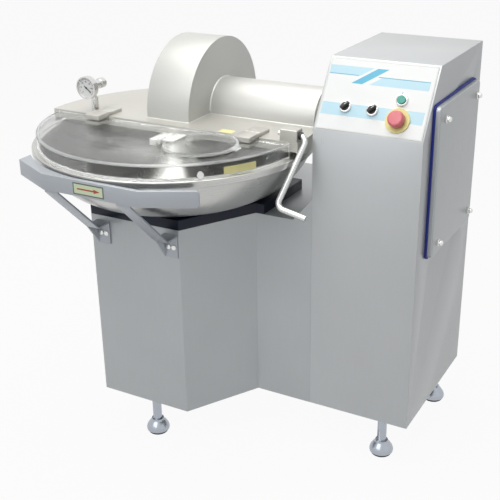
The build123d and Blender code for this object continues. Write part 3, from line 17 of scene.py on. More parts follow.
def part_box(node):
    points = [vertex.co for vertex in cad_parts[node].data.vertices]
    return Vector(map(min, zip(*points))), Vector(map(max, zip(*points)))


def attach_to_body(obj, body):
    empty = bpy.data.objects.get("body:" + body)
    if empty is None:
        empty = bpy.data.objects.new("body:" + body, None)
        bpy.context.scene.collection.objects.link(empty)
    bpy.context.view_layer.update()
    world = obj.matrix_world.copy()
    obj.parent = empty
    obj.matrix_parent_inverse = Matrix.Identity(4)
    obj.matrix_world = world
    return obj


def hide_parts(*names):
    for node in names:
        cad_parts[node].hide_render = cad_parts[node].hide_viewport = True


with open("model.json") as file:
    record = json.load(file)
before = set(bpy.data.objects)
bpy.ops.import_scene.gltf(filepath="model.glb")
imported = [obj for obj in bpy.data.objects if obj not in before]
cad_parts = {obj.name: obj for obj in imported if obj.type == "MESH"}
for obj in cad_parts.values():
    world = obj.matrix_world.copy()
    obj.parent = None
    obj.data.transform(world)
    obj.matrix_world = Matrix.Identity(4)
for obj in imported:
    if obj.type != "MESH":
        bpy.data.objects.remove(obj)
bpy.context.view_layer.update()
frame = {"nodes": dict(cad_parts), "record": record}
record = frame["record"]
body_of = {node: body for body, nodes in record["behaviour"]["bodies"].items() for node in nodes}
mm = 0.001


def box_in_mm(node):
    """Lowest and highest corner of a node at rest, in millimetres."""
    low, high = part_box(node)
    return low / mm, high / mm


# %% [markdown]
# ## Camera
# The machine is seen from its front right corner and a little from above, as a buyer would look at it
# standing. A camera can be aimed with a constraint or turned by hand. Here its three axes are worked
# out from azimuth, elevation and roll, because those are the words in which such a view is described.

# %% Camera
AZIMUTH = radians(29.35)
ELEVATION = radians(23.50)
ROLL = radians(-0.97)
CAMERA_PLACE = Vector((1.1791, -2.0353, 1.5495))
LENS = 67.87


def camera_turn(azimuth, elevation, roll):
    """Rotation whose columns are the camera's right, up and backward directions."""
    back = Vector((sin(azimuth) * cos(elevation), -cos(azimuth) * cos(elevation), sin(elevation)))
    right = Vector((cos(azimuth), sin(azimuth), 0))
    up = back.cross(right)
    turned_right = cos(roll) * right + sin(roll) * up
    turned_up = cos(roll) * up - sin(roll) * right
    return Matrix((turned_right, turned_up, back)).transposed().to_4x4()


camera = bpy.data.objects.new("camera", bpy.data.cameras.new("camera"))
camera.data.lens = LENS
camera.matrix_world = Matrix.Translation(CAMERA_PLACE) @ camera_turn(AZIMUTH, ELEVATION, ROLL)
bpy.context.collection.objects.link(camera)
bpy.context.scene.camera = camera
print("camera at", [round(c, 2) for c in CAMERA_PLACE])

# %% [markdown]
# ## Writing node maths as expressions
# A node graph can be clicked together, or written line by line with a link for each wire. Both hide the
# formula. The small class below wraps a socket so that `mask * 0.5 + 0.2` adds the Math nodes by itself.
# It serves shaders and Geometry Nodes alike, and one method makes any other node.

# %% Sockets as numbers


class Wire:
    """An output socket that can be used in arithmetic."""

    def __init__(self, sheet, socket):
        self.sheet = sheet
        self.socket = socket

    def __add__(self, other):
        return self.sheet.maths("ADD", self, other)

    __radd__ = __add__

    def __sub__(self, other):
        return self.sheet.maths("SUBTRACT", self, other)

    def __rsub__(self, other):
        return self.sheet.maths("SUBTRACT", other, self)

    def __mul__(self, other):
        return self.sheet.maths("MULTIPLY", self, other)

    __rmul__ = __mul__

    def __truediv__(self, other):
        return self.sheet.maths("DIVIDE", self, other)

    def __rtruediv__(self, other):
        return self.sheet.maths("DIVIDE", other, self)

    def __pow__(self, other):
        return self.sheet.maths("POWER", self, other)

    def __gt__(self, other):
        return self.sheet.maths("GREATER_THAN", self, other)

    def __lt__(self, other):
        return self.sheet.maths("LESS_THAN", self, other)


class Sheet:
    """A node tree on which nodes are placed by their type."""

    def __init__(self, tree):
        self.tree = tree

    def feed(self, socket, value):
        if isinstance(value, Wire):
            self.tree.links.new(value.socket, socket)
        else:
            socket.default_value = value

    def node(self, kind, settings=None, sockets=None, out=0):
        node = self.tree.nodes.new(kind)
        for name, value in (settings or {}).items():
            setattr(node, name, value)
        for name, value in (sockets or {}).items():
            self.feed(node.inputs[name], value)
        return Wire(self, node.outputs[out])

    def maths(self, operation, first, second=0.0):
        return self.node("ShaderNodeMath", {"operation": operation}, {0: first, 1: second})


print("node maths ready")

# %% [markdown]
# ## What a finish is
# A finish is one material: a colour, a roughness and a fine relief, each with the small variation that
# makes a real surface readable. Image textures could hold that, but they need files and unwrapping.
# Procedural patterns on object coordinates stay sharp at any distance, and a moving part keeps them.

# %% Finish
SOFT_LOW, SOFT_HIGH = 0.3, 0.7           # where most of a noise's values lie


class Finish(Sheet):
    """A Principled material with a few patterns shared by all surfaces."""

    def __init__(self, name, **constants):
        self.material = bpy.data.materials.new(name)
        self.material.use_nodes = True
        super().__init__(self.material.node_tree)
        self.shader = self.tree.nodes["Principled BSDF"]
        self.place = self.node("ShaderNodeTexCoord", out="Object")
        for socket, value in constants.items():
            self.set(socket.replace("_", " "), value)

    def set(self, socket, value):
        self.feed(self.shader.inputs[socket], value)

    def axis(self, letter):
        return self.node("ShaderNodeSeparateXYZ", sockets={0: self.place}, out=letter)

    def radius_about(self, centre):
        """Distance from a vertical axis."""
        from_x = self.axis("X") - centre.x
        from_y = self.axis("Y") - centre.y
        return (from_x * from_x + from_y * from_y) ** 0.5

    def noise(self, lumps, detail=2.0, shift=0.0):
        """Noise from 0 to 1 with so many lumps to a metre: one number, or one each for X, Y and Z."""
        scale = lumps if isinstance(lumps, tuple) else (lumps, lumps, lumps)
        moved = self.node("ShaderNodeMapping", sockets={
            "Vector": self.place, "Scale": scale, "Location": (shift, shift, shift)})
        return self.node("ShaderNodeTexNoise", sockets={
            "Vector": moved, "Scale": 1.0, "Detail": detail}, out="Fac")

    def mix(self, mask, first, second):
        return self.node("ShaderNodeMix", {"data_type": "RGBA"}, {0: mask, 6: first, 7: second}, out=2)

    def relief(self, height, distance, strength=1.0):
        self.set("Normal", self.node("ShaderNodeBump", sockets={
            "Height": height, "Distance": distance, "Strength": strength}))

    def spread(self, signal, low, high):
        """Stretch a soft signal about its middle into low..high."""
        return self.node("ShaderNodeMapRange", sockets={
            "Value": signal, "From Min": SOFT_LOW, "From Max": SOFT_HIGH, "To Min": low, "To Max": high})


def shade(colour, factor=1.0):
    """The same colour made lighter or darker, opaque."""
    return tuple(channel * factor for channel in colour[:3]) + (1.0,)


print("finishes can be made")

# %% [markdown]
# ## Brushed stainless sheet
# The cabinet, guard, cover, hood and tube are stainless sheet with a fine one-way grain. An anisotropic
# shader gives the streaked highlight, but it is lost on export. A grain stretched along one axis that
# drives roughness and a very small bump looks the same and survives, so the grain's axis is an input.
# A slow cloudy tint stands for the slight unevenness and hand marks that sheet always has.

# %% Sheet steel
SHEET_COLOUR = (0.60, 0.605, 0.60)
GRAIN = 1500.0              # scratches to a metre across the grain
ALONG = 22.0                # and along it
SCRATCH_DEPTH = 0.000012    # metres, also for the rings on turned metal
GRAIN_SCALES = {"X": (ALONG, GRAIN, GRAIN), "Y": (GRAIN, ALONG, GRAIN), "Z": (GRAIN, GRAIN, ALONG)}


def sheet_steel(name, grain_axis, colour=SHEET_COLOUR, metallic=0.35, rough=0.34, contrast=0.05):
    finish = Finish(name, Metallic=metallic)
    scratches = finish.noise(GRAIN_SCALES[grain_axis], detail=3.0)
    clouds = finish.noise(2.3, detail=3.0, shift=4.7)
    dark, light = shade(colour, 1 - contrast), shade(colour, 1 + contrast)
    cloudy = finish.mix(finish.spread(clouds, 0.0, 1.0), dark, light)
    streaked = finish.mix(finish.spread(scratches, 0.0, 0.25), cloudy, shade(colour, 1 - 2 * contrast))
    finish.set("Base Color", streaked)
    finish.set("Roughness", finish.spread(scratches, rough - 0.05, rough + 0.05) + (clouds - 0.5) * 0.10)
    finish.relief(scratches, SCRATCH_DEPTH)
    return finish.material


cabinet_steel = sheet_steel("cabinet_steel", "Z", (0.515, 0.54, 0.555))
# painted light: the console gets a lighter, cooler copy of the cabinet's steel for its better lit faces
console_steel = sheet_steel("console_steel", "Z", (0.555, 0.575, 0.59))
# painted light: the cover gets a lighter, warmer copy of the same steel for its lit top
cover_steel = sheet_steel("cover_steel", "X", (0.60, 0.59, 0.55), metallic=0.40, rough=0.36)
hood_steel = sheet_steel("hood_steel", "X", (0.59, 0.595, 0.575), metallic=0.35, rough=0.46, contrast=0.03)
tube_steel = sheet_steel("tube_steel", "X", (0.63, 0.63, 0.61), metallic=0.40, rough=0.46, contrast=0.025)
guard_steel = sheet_steel("guard_steel", "X", (0.44, 0.47, 0.51), metallic=0.45, rough=0.38)
# the weld beads' lighter steel is a painted highlight for the bright seam lines
weld_steel = sheet_steel("weld_steel", "X", (0.78, 0.78, 0.76), metallic=0.6, rough=0.30)
print("sheet finishes: cabinet, console, cover, hood, tube, guard, weld")

# %% [markdown]
# ## Turned and polished metal
# The bowl is turned and then polished, so what is left are faint rings about its axis, never lines along
# it. The rings could be a texture wrapped round the bowl. A wave on the distance from the axis needs no
# unwrapping and stays round when the bowl turns. Ground shafts, nuts and blades get plain fine noise.

# %% Polished and turned metal
RING_PITCH = 0.004
RING_WANDER = 4.0                        # how far the rings stray, in radians of their wave


def turned_metal(name, axis, colour, rough, metallic=1.0):
    """Rings about a vertical axis through the given place."""
    finish = Finish(name, Metallic=metallic)
    path = finish.radius_about(axis) + finish.axis("Z")
    wander = finish.noise((30.0, 30.0, 400.0))
    rings = finish.maths("SINE", path * (2 * pi / RING_PITCH) + wander * RING_WANDER)
    clouds = finish.noise(5.0, shift=2.0)
    finish.set("Base Color", finish.mix(clouds, shade(colour, 0.94), shade(colour, 1.05)))
    finish.set("Roughness", rings * 0.012 + finish.spread(clouds, rough - 0.03, rough + 0.05))
    finish.relief(rings, SCRATCH_DEPTH)
    return finish.material


def ground_metal(name, colour, rough, metallic=1.0, lumps=260.0):
    finish = Finish(name, Metallic=metallic)
    fine = finish.noise(lumps, detail=3.0)
    soft = finish.noise(11.0, detail=1.0, shift=1.3)
    finish.set("Base Color", finish.mix(soft, shade(colour, 0.92), shade(colour, 1.04)))
    finish.set("Roughness", finish.spread(fine, rough - 0.04, rough + 0.06))
    finish.relief(fine, 0.00002)
    return finish.material


bowl_low, bowl_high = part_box("bowl")
bowl_axis = (bowl_low + bowl_high) / 2
bowl_steel = turned_metal("bowl_steel", bowl_axis, (0.54, 0.54, 0.525), 0.27, metallic=0.9)
bright_steel = ground_metal("bright_steel", (0.74, 0.74, 0.73), 0.16)
satin_rod = ground_metal("satin_rod", (0.66, 0.67, 0.66), 0.28, metallic=0.8)
foot_steel = ground_metal("foot_steel", (0.42, 0.45, 0.50), 0.24)
arm_steel = ground_metal("arm_steel", (0.62, 0.60, 0.56), 0.30, metallic=0.6)
blade_steel = ground_metal("blade_steel", (0.70, 0.70, 0.71), 0.14)
bearing_steel = ground_metal("bearing_steel", (0.60, 0.60, 0.62), 0.22)
turned_aluminium = ground_metal("turned_aluminium", (0.66, 0.66, 0.67), 0.32, lumps=500.0)
print("turned and ground metals: bowl, bright, rod, arm, blade, bearing, aluminium")

# %% [markdown]
# ## Plastics, rubber, paint and castings
# These differ in only three things: colour, gloss and grain size. One function with those inputs makes
# them all, which keeps the set consistent. A moulded part has a faint orange-peel, rubber a dusty
# mottle, and a casting a coarse one.

# %% Moulded, painted and cast


def moulded(name, colour, rough, lumps=900.0, depth=0.00003, mottle=0.06, **constants):
    finish = Finish(name, **constants)
    peel = finish.noise(lumps)
    patches = finish.noise(22.0, detail=3.0, shift=7.0)
    finish.set("Base Color", finish.mix(patches, shade(colour, 1 - mottle), shade(colour, 1 + mottle)))
    finish.set("Roughness", finish.spread(patches, rough - 0.05, rough + 0.06))
    finish.relief(peel, depth)
    return finish.material


black_plastic = moulded("black_plastic_satin", (0.018, 0.019, 0.022), 0.36)
white_plastic = moulded("white_plastic_gloss", (0.93, 0.93, 0.91), 0.26, mottle=0.02, Coat_Weight=0.2)
green_plastic = moulded("green_plastic_gloss", (0.004, 0.33, 0.25), 0.25, Coat_Weight=0.3)
red_plastic = moulded("red_plastic_gloss", (0.76, 0.17, 0.20), 0.32, Coat_Weight=0.25)
seal_rubber = moulded("seal_rubber", (0.010, 0.024, 0.27), 0.55, lumps=700.0, mottle=0.12)
foot_rubber = moulded("foot_rubber", (0.016, 0.016, 0.017), 0.7, lumps=500.0, mottle=0.2)
belt_rubber = moulded("belt_rubber", (0.014, 0.014, 0.014), 0.65, lumps=500.0, mottle=0.2)
cast_iron = moulded("cast_iron", (0.16, 0.165, 0.17), 0.55, lumps=240.0, depth=0.0002, Metallic=0.6)
drive_paint = moulded("drive_paint", (0.09, 0.115, 0.14), 0.42, lumps=500.0, depth=0.00006)
box_paint = moulded("box_paint", (0.42, 0.43, 0.42), 0.45, lumps=600.0, depth=0.00006)
needle_black = moulded("needle_black", (0.012, 0.012, 0.012), 0.4)
dial_print = moulded("dial_print", (0.02, 0.02, 0.02), 0.5)
dial_white = moulded("dial_white", (0.93, 0.935, 0.93), 0.45, mottle=0.015)
print("moulded, painted and cast finishes made")

# %% [markdown]
# ## The dark skirt
# Between base and bowl stands a skirt of very dark blue plastic. A black material would look like a
# hole. Deep navy with a low, soft gloss keeps its edges readable.

# %% Skirt finish
neck_blue = moulded("neck_blue", (0.004, 0.008, 0.022), 0.42, lumps=300.0, mottle=0.15,
                    Specular_IOR_Level=0.3)
print("skirt finish made")

# %% [markdown]
# ## Clear acrylic
# Lid, ring and port are cast acrylic sheet a few millimetres thick. Alpha alone would lose the bright
# cut edges, and pure transmission keeps lamp light out of the bowl. So part of the light goes straight
# through and the rest is bent by closed solids. Where sheets are bonded or cut they are frosted, and
# that is a mask on height and radius that only raises alpha and roughness.

# %% Acrylic
ACRYLIC_INDEX = 1.49
CLEARNESS = 0.93             # the rest scatters, as fine scratches do
BODY = 0.30                  # share of the light that the sheet bends or reflects
FROSTED_BODY = 0.92
FROSTED_ROUGH = 0.55


def between(value, low, high):
    """1 where value lies between low and high, else 0."""
    return (value > low) * (value < high)


def acrylic(name, colour, rough, frosted):
    """Frosted gives the mask of the bonded and cut edges from the finish's own patterns."""
    finish = Finish(name, IOR=ACRYLIC_INDEX)
    finish.set("Transmission Weight", CLEARNESS)
    wiped = finish.noise((6.0, 40.0, 40.0), detail=3.0)
    mask = frosted(finish)
    finish.set("Base Color", finish.mix(wiped, shade(colour, 0.985), shade(colour)))
    finish.set("Alpha", mask * (FROSTED_BODY - BODY) + BODY)
    finish.set("Roughness", finish.spread(wiped, rough * 0.4, rough * 1.6) + mask * FROSTED_ROUGH)
    return finish.material


lid_low, lid_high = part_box("acrylic_lid")
ring_low, ring_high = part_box("port_ring")
RING_LUG = 12 * mm                       # the ring's hinge side reaches this much past its circle
port_centre = (ring_low + ring_high) / 2 - Vector((RING_LUG / 2, 0, 0))
LID_REACH = 359 * mm
PORT_REACH = 92 * mm
JOINT_WIDTH, JOINT_DEPTH = 7.0 * mm, 6.0 * mm      # bonded joint of the lid's top and skirt
FOOT_EDGE, CUT_EDGE, RING_EDGE, PORT_EDGE = 1.5 * mm, 0.4 * mm, 2.2 * mm, 0.6 * mm


def lid_edges(finish):
    height = finish.axis("Z")
    joint = (finish.radius_about(bowl_axis) > LID_REACH - JOINT_WIDTH) * (height > lid_high.z - JOINT_DEPTH)
    foot = between(height, lid_low.z - mm, lid_low.z + FOOT_EDGE)
    cut = finish.axis("Y") > lid_high.y - CUT_EDGE
    return finish.maths("MINIMUM", joint + foot + cut, 1.0)


def ring_edges(finish):
    return between(finish.axis("Z"), ring_high.z - RING_EDGE, ring_high.z + mm)


def port_edges(finish):
    return finish.radius_about(port_centre) > PORT_REACH - PORT_EDGE


clear_sheet = acrylic("clear_sheet", (0.94, 0.96, 0.955), 0.02, lid_edges)
clear_ring = acrylic("clear_ring", (0.95, 0.97, 0.965), 0.02, ring_edges)
clear_port = acrylic("clear_port", (0.95, 0.97, 0.965), 0.02, port_edges)
print("acrylic made, port about", [round(c / mm) for c in port_centre])

# %% [markdown]
# ## Printed films
# The control face carries a printed film: a white ground, pale blue bands, thin darker lines and one
# slanted bar. It could be many thin plates. A print has no thickness, so masks in one material are
# nearer to the real thing. Positions run along the sloping face: u to the right and v up the slope.

# %% Control film
face_low, face_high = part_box("console_frame")
PANEL_SETBACK = 103 * mm
PANEL_RISE = 160 * mm
slope_length = sqrt(PANEL_SETBACK ** 2 + PANEL_RISE ** 2)
slope = Vector((0, PANEL_SETBACK, PANEL_RISE)) / slope_length
face_corner = Vector((face_low.x, face_low.y, face_high.z - PANEL_RISE))
BAND_BLUE = (0.53, 0.78, 0.90)
LINE_BLUE = (0.11, 0.44, 0.62)
BAR_BLUE = (0.10, 0.50, 0.72)
FILM_WHITE = (0.90, 0.92, 0.925)
MARK_GREY = (0.10, 0.12, 0.14)
BORDER_GREY = (0.78, 0.79, 0.77)
BAR_LEAN = 1.42                          # millimetres that the slanted bar goes right for each one up
FILM_PEEL = 0.00001


def control_film():
    finish = Finish("control_film", Coat_Weight=0.15)
    u = (finish.axis("X") - face_corner.x) / mm
    along = finish.node("ShaderNodeVectorMath", {"operation": "DOT_PRODUCT"},
                        {0: finish.place, 1: slope}, out="Value")
    v = (along - face_corner.dot(slope)) / mm
    lean = u - v * BAR_LEAN                  # constant along the slanted bar's edges

    def area(left, right, low, high):
        return between(u, left, right) * between(v, low, high)

    left_band = area(7, 262, 146, 167) * (lean < -118)
    right_band = area(7, 264, 125, 146) * (lean > -62)
    bar = between(v, 125, 167) * between(lean, -108, -80)
    left_line = area(7, 262, 144.6, 146.6) * (lean < -122)
    right_line = area(7, 264, 145, 147) * (lean > -72)
    prints = ((left_band + right_band + area(9, 267, 42, 73), BAND_BLUE), (bar, BAR_BLUE),
              (left_line + right_line, LINE_BLUE), (area(202, 203.6, 109, 116), MARK_GREY),
              (1 - area(8, 272, 8, 182), BORDER_GREY))
    fade = finish.noise(9.0)
    colour = finish.mix(fade, shade(FILM_WHITE, 0.985), shade(FILM_WHITE))
    for mask, ink in prints:
        colour = finish.mix(mask, colour, shade(ink))
    finish.set("Base Color", colour)
    finish.set("Roughness", finish.spread(fade, 0.30, 0.38))
    finish.relief(finish.noise(1500.0), FILM_PEEL)
    return finish.material


film = control_film()
print("control film, face", round(slope_length / mm, 1), "mm long")

# %% [markdown]
# ## Yellow ring and signs
# The emergency stop sits on a pale yellow printed ring, and two blank yellow plates and one with a
# plain arrow are stuck to lid, cover and guard. The ring only needs a mottled satin yellow. The arrow
# is drawn by masks, as the film is, in the sticker's own width and height.

# %% Sign finishes
SIGN_YELLOW = (0.93, 0.88, 0.42)
ARROW_GREEN = (0.78, 0.86, 0.60)
ARROW_BORDER = (0.13, 0.17, 0.14)
ARROW_RED = (0.45, 0.075, 0.035)
ARROW_LOW = Vector((-202, 0, 795)) * mm
ARROW_HIGH = Vector((-113, 0, 824)) * mm
SHAFT_FROM, SHAFT_TO, SHAFT_HALF = 0.14, 0.74, 0.065           # shares of the sticker's width and height
HEAD_FROM, HEAD_TO, HEAD_HALF, HEAD_TAPER = 0.68, 0.88, 0.18, 0.9


def arrow_sign():
    finish = Finish("arrow_sign", Coat_Weight=0.2)
    across = (finish.axis("X") - ARROW_LOW.x) / (ARROW_HIGH.x - ARROW_LOW.x)
    up = (finish.axis("Z") - ARROW_LOW.z) / (ARROW_HIGH.z - ARROW_LOW.z)
    off_middle = finish.maths("ABSOLUTE", up - 0.5)
    shaft = between(across, SHAFT_FROM, SHAFT_TO) * (off_middle < SHAFT_HALF)
    narrowing = (across - HEAD_FROM) * HEAD_TAPER
    head = between(across, HEAD_FROM, HEAD_TO) * (off_middle + narrowing < HEAD_HALF)
    inside = between(across, 0.035, 0.965) * between(up, 0.10, 0.90)
    worn = finish.noise(70.0, detail=3.0)
    ground = finish.mix(worn, shade(ARROW_GREEN, 0.95), shade(ARROW_GREEN, 1.03))
    colour = finish.mix(inside, shade(ARROW_BORDER), ground)
    colour = finish.mix(shaft + head, colour, shade(ARROW_RED))
    finish.set("Base Color", colour)
    finish.set("Roughness", finish.spread(worn, 0.35, 0.45))
    return finish.material


sign_arrow = arrow_sign()
sign_yellow = moulded("sign_yellow", SIGN_YELLOW, 0.42, lumps=200.0, mottle=0.08)
ring_yellow = moulded("ring_yellow", (0.86, 0.79, 0.33), 0.40, mottle=0.04)
print("sign finishes made")

# %% [markdown]
# ## From a CAD node to a dressed piece
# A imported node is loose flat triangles: correct in place, but hard-edged. Folded sheet and machined
# blocks have small radii that catch the light. So a copy is merged, its flat faces are joined, its
# edges get a true bevel and its round faces are smoothed. The copy then stands in for the node.

# %% Dressing helper
MERGE = 1e-5
LEVEL = 0.999                # a face is level when its normal is this upright
FLAT_JOIN = 0.5              # degrees between faces that count as one flat face


def add_piece(name, mesh, finish):
    """A new object at the origin with one material."""
    piece = bpy.data.objects.new(name, mesh)
    bpy.context.collection.objects.link(piece)
    mesh.materials.clear()
    mesh.materials.append(finish)
    return piece


def evaluated_mesh(thing):
    """A plain mesh of what an object's modifiers or text make."""
    graph = bpy.context.evaluated_depsgraph_get()
    return bpy.data.meshes.new_from_object(thing.evaluated_get(graph), depsgraph=graph)


def make_plain(piece):
    """Apply all modifiers by taking the evaluated mesh."""
    mesh = evaluated_mesh(piece)
    piece.modifiers.clear()
    piece.data = mesh


def taken(bm, name):
    """The mesh of a bmesh, which is let go."""
    mesh = bpy.data.meshes.new(name)
    bm.to_mesh(mesh)
    bm.free()
    return mesh


def smooth(mesh, angle=35.0):
    mesh.shade_smooth()
    mesh.set_sharp_from_angle(angle=radians(angle))


def merged(node):
    """A bmesh of a node's surface with its triangles joined."""
    bm = bmesh.new()
    bm.from_mesh(frame["nodes"][node].data)
    bmesh.ops.remove_doubles(bm, verts=bm.verts, dist=MERGE)
    return bm


def attach(piece, body):
    """The piece moves with a body."""
    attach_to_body(piece, body)


def stand_in(piece, node):
    """The piece replaces a node, which is hidden, and takes over its body."""
    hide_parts(node)
    attach(piece, body_of[node])


def dress(node, finish, edge=0.0, steps=2, angle=35.0, flat_join=True):
    """Finished copy of a node with rounded edges (edge in millimetres)."""
    bm = merged(node)
    if flat_join:
        bmesh.ops.dissolve_limit(bm, angle_limit=radians(FLAT_JOIN), verts=bm.verts, edges=bm.edges)
    name = f"{node}_dressed"
    piece = add_piece(name, taken(bm, name), finish)
    if edge:
        rounding = piece.modifiers.new("edge", "BEVEL")
        rounding.width = edge * mm
        rounding.segments = steps
        rounding.limit_method = "ANGLE"
        rounding.angle_limit = radians(angle)
        make_plain(piece)
    smooth(piece.data, angle)
    if not flat_join:
        for face in piece.data.polygons:
            face.use_smooth = abs(face.normal.z) < LEVEL
    stand_in(piece, node)


print("dressing helper ready")

# %% [markdown]
# ## Cabinet, panels and guard
# Each folded sheet part is dressed with a radius that suits its thickness: just over 1 mm on the
# cabinet's folds, under a millimetre on thin plates. Modelling these radii as geometry, not as a shader
# trick, also puts them into the exported mesh. The pressed trays and the cover bring their own edges.

# %% Sheet parts
SHEET_PARTS = {
    "console_frame": (console_steel, 1.2),
    "base_frame": (cabinet_steel, 1.2),
    "console_side_panel": (cabinet_steel, 0.0),
    "base_side_panel": (cabinet_steel, 0.0),
    "rear_panel": (cabinet_steel, 0.8),
    "hand_guard": (guard_steel, 0.8),
    "guard_struts": (guard_steel, 0.7),
    "guard_brackets": (guard_steel, 0.6),
    "rear_cover": (cover_steel, 0.0),
    "knife_hood": (hood_steel, 0.6),
    "shaft_tube": (tube_steel, 0.6),
    "lid_hinge_leaves": (cover_steel, 0.6),
    "lid_hinge_blocks": (cover_steel, 0.8),
    "cover_hinge_posts": (cabinet_steel, 0.8),
    "lever_bracket": (cover_steel, 0.8),
}
for node, (finish, edge) in SHEET_PARTS.items():
    dress(node, finish, edge, flat_join=node != "rear_cover")      # its top goes round the bowl's opening
print("sheet parts:", len(SHEET_PARTS))

# %% [markdown]
# ## Machined, moulded and inside parts
# The other parts keep their CAD shape, merged and smoothed, and get the finish of their kind. The ones
# inside the console are seen only when a panel is off, yet they are finished too, since the model may
# be opened up.

# %% Other parts
OTHER_PARTS = {
    "bowl_hub_nut": bright_steel, "bowl_shaft": bright_steel, "bowl_bearing_housing": cast_iron,
    "bowl_gear_motor": drive_paint, "knife_arm": arm_steel, "arm_end_cap": arm_steel,
    "shaft_bearings": bearing_steel, "knife_shaft": bright_steel, "knives": blade_steel,
    "knife_rings": bright_steel, "knife_nut": bright_steel, "shaft_pulley": turned_aluminium,
    "motor_pulley": turned_aluminium, "drive_belt": belt_rubber, "main_motor": drive_paint,
    "motor_plate": drive_paint, "motor_shaft": bright_steel, "control_box": box_paint,
    "cover_hinge_pins": bright_steel, "cable_gland": black_plastic, "switch_bodies": black_plastic,
    "console_side_seal": seal_rubber, "base_side_seal": seal_rubber, "foot_rubbers": foot_rubber,
    "levelling_feet": foot_steel, "neck_skirt": neck_blue, "control_panel": film,
    "control_bezels": bright_steel, "start_button": green_plastic, "stop_button": red_plastic,
    "stop_ring": ring_yellow, "lid_catch": bright_steel, "port_hinge_base": white_plastic,
    "port_hinge_flap": white_plastic, "acrylic_lid": clear_sheet, "port_lid": clear_port,
    "port_ring": clear_ring, "thermometer_case": bright_steel, "thermometer_needle": needle_black,
}
OTHER_EDGES = {                          # rounded edges in millimetres, none where a part isn't named
    "bowl_gear_motor": 1.5, "motor_plate": 0.8, "control_box": 1.5, "switch_bodies": 0.8,
    "console_side_seal": 1.0, "base_side_seal": 1.0, "neck_skirt": 1.0, "port_hinge_base": 1.2,
    "port_hinge_flap": 1.0, "acrylic_lid": 0.8, "port_lid": 0.8,
}
for node, finish in OTHER_PARTS.items():
    dress(node, finish, OTHER_EDGES.get(node, 0.0))
print("other parts:", len(OTHER_PARTS))

# %% [markdown]
# ## Rules that grow shapes
# What repeats, turns about an axis or follows a path is grown by Geometry Nodes: the rule is kept once
# and the sizes are its inputs. The small class below makes such a tree with named inputs, hands it the
# sizes by socket identifier, and takes the result as a plain mesh, because an export knows no rules.

# %% Growing helper


class Rule(Sheet):
    """A Geometry Nodes tree with named inputs for its sizes."""

    def __init__(self, name):
        super().__init__(bpy.data.node_groups.new(name, "GeometryNodeTree"))
        self.tree.interface.new_socket("Seed", in_out="INPUT", socket_type="NodeSocketGeometry")
        self.tree.interface.new_socket("Shape", in_out="OUTPUT", socket_type="NodeSocketGeometry")
        self.start = self.tree.nodes.new("NodeGroupInput")
        self.end = self.tree.nodes.new("NodeGroupOutput")
        self.seed = Wire(self, self.start.outputs["Seed"])
        self.keys = {}

    def ask(self, name, kind="Float"):
        item = self.tree.interface.new_socket(name, in_out="INPUT", socket_type="NodeSocket" + kind)
        self.keys[name] = item.identifier
        return Wire(self, self.start.outputs[name])

    def vector(self, **axes):
        return self.node("ShaderNodeCombineXYZ", sockets=axes)

    def transform(self, shape, **change):
        return self.node("GeometryNodeTransform", sockets={"Geometry": shape, **change})

    def close(self, shape):
        """Real faces with their finish, as an export needs them."""
        finish = self.ask("Finish", "Material")
        real = self.node("GeometryNodeRealizeInstances", sockets={0: shape})
        painted = self.node("GeometryNodeSetMaterial", sockets={0: real, "Material": finish})
        self.tree.links.new(painted.socket, self.end.inputs[0])

    def grow(self, name, seed, finish, angle=35.0, **sizes):
        """A plain mesh grown on the seed mesh, with its edges kept sharp past the angle."""
        piece = add_piece(name, seed, finish)
        modifier = piece.modifiers.new("rule", "NODES")
        modifier.node_group = self.tree
        modifier[self.keys["Finish"]] = finish
        for size, value in sizes.items():
            modifier[self.keys[size.replace("_", " ")]] = value
        make_plain(piece)
        outward(piece.data)
        smooth(piece.data, angle)
        piece.data.materials.clear()
        piece.data.materials.append(finish)
        print(name, "grown with", len(piece.data.polygons), "faces")
        return piece


def outward(mesh):
    """Close the poles and turn all faces outwards."""
    bm = bmesh.new()
    bm.from_mesh(mesh)
    bmesh.ops.remove_doubles(bm, verts=bm.verts, dist=MERGE)
    bmesh.ops.recalc_face_normals(bm, faces=bm.faces)
    bm.to_mesh(mesh)
    bm.free()


def seed_points(name, points, edges=()):
    """Points given in millimetres, for a rule to grow on."""
    mesh = bpy.data.meshes.new(name)
    mesh.from_pydata([Vector(p) * mm for p in points], edges, [])
    return mesh


def seed_line(name, points, closed=False):
    """A chain of edges through the points."""
    edges = [(i, i + 1) for i in range(len(points) - 1)]
    if closed:
        edges.append((len(points) - 1, 0))
    return seed_points(name, points, edges)


print("growing helper ready")

# %% [markdown]
# ## Turning on a lathe
# The bowl, the dial's face and the selectors' bases are bodies of revolution. A screw modifier would
# do, but a circle swept by the half section says the same with one more freedom: the number of steps
# can follow the size. The seed is the half section, with X for radius and minus Y for height.

# %% Turning rule


def turning_rule():
    rule = Rule("turned_body")
    steps = rule.ask("Steps", "Int")
    centre = rule.ask("Centre", "Vector")
    lean = rule.ask("Lean", "Rotation")
    section = rule.node("GeometryNodeMeshToCurve", sockets={0: rule.seed})
    moved = rule.transform(section, Translation=(-1.0, 0.0, 0.0))      # the circle's radius is 1
    circle = rule.node("GeometryNodeCurvePrimitiveCircle", sockets={"Resolution": steps, "Radius": 1.0})
    upright = rule.node("GeometryNodeSetCurveNormal", {"mode": "Z_UP"}, {0: circle})
    swept = rule.node("GeometryNodeCurveToMesh", sockets={"Curve": upright, "Profile Curve": moved})
    tight = rule.node("GeometryNodeMergeByDistance", sockets={"Geometry": swept, "Distance": MERGE})
    rule.close(rule.transform(tight, Translation=centre, Rotation=lean))
    return rule


turned_body = turning_rule()
UPRIGHT = (0, 0, 0)


def arc(centre, radius, start, end, steps):
    """Points on an arc in degrees, as (radius, height)."""
    turn = [radians(start + (end - start) * i / steps) for i in range(steps + 1)]
    return [(centre[0] + radius * cos(a), centre[1] + radius * sin(a)) for a in turn]


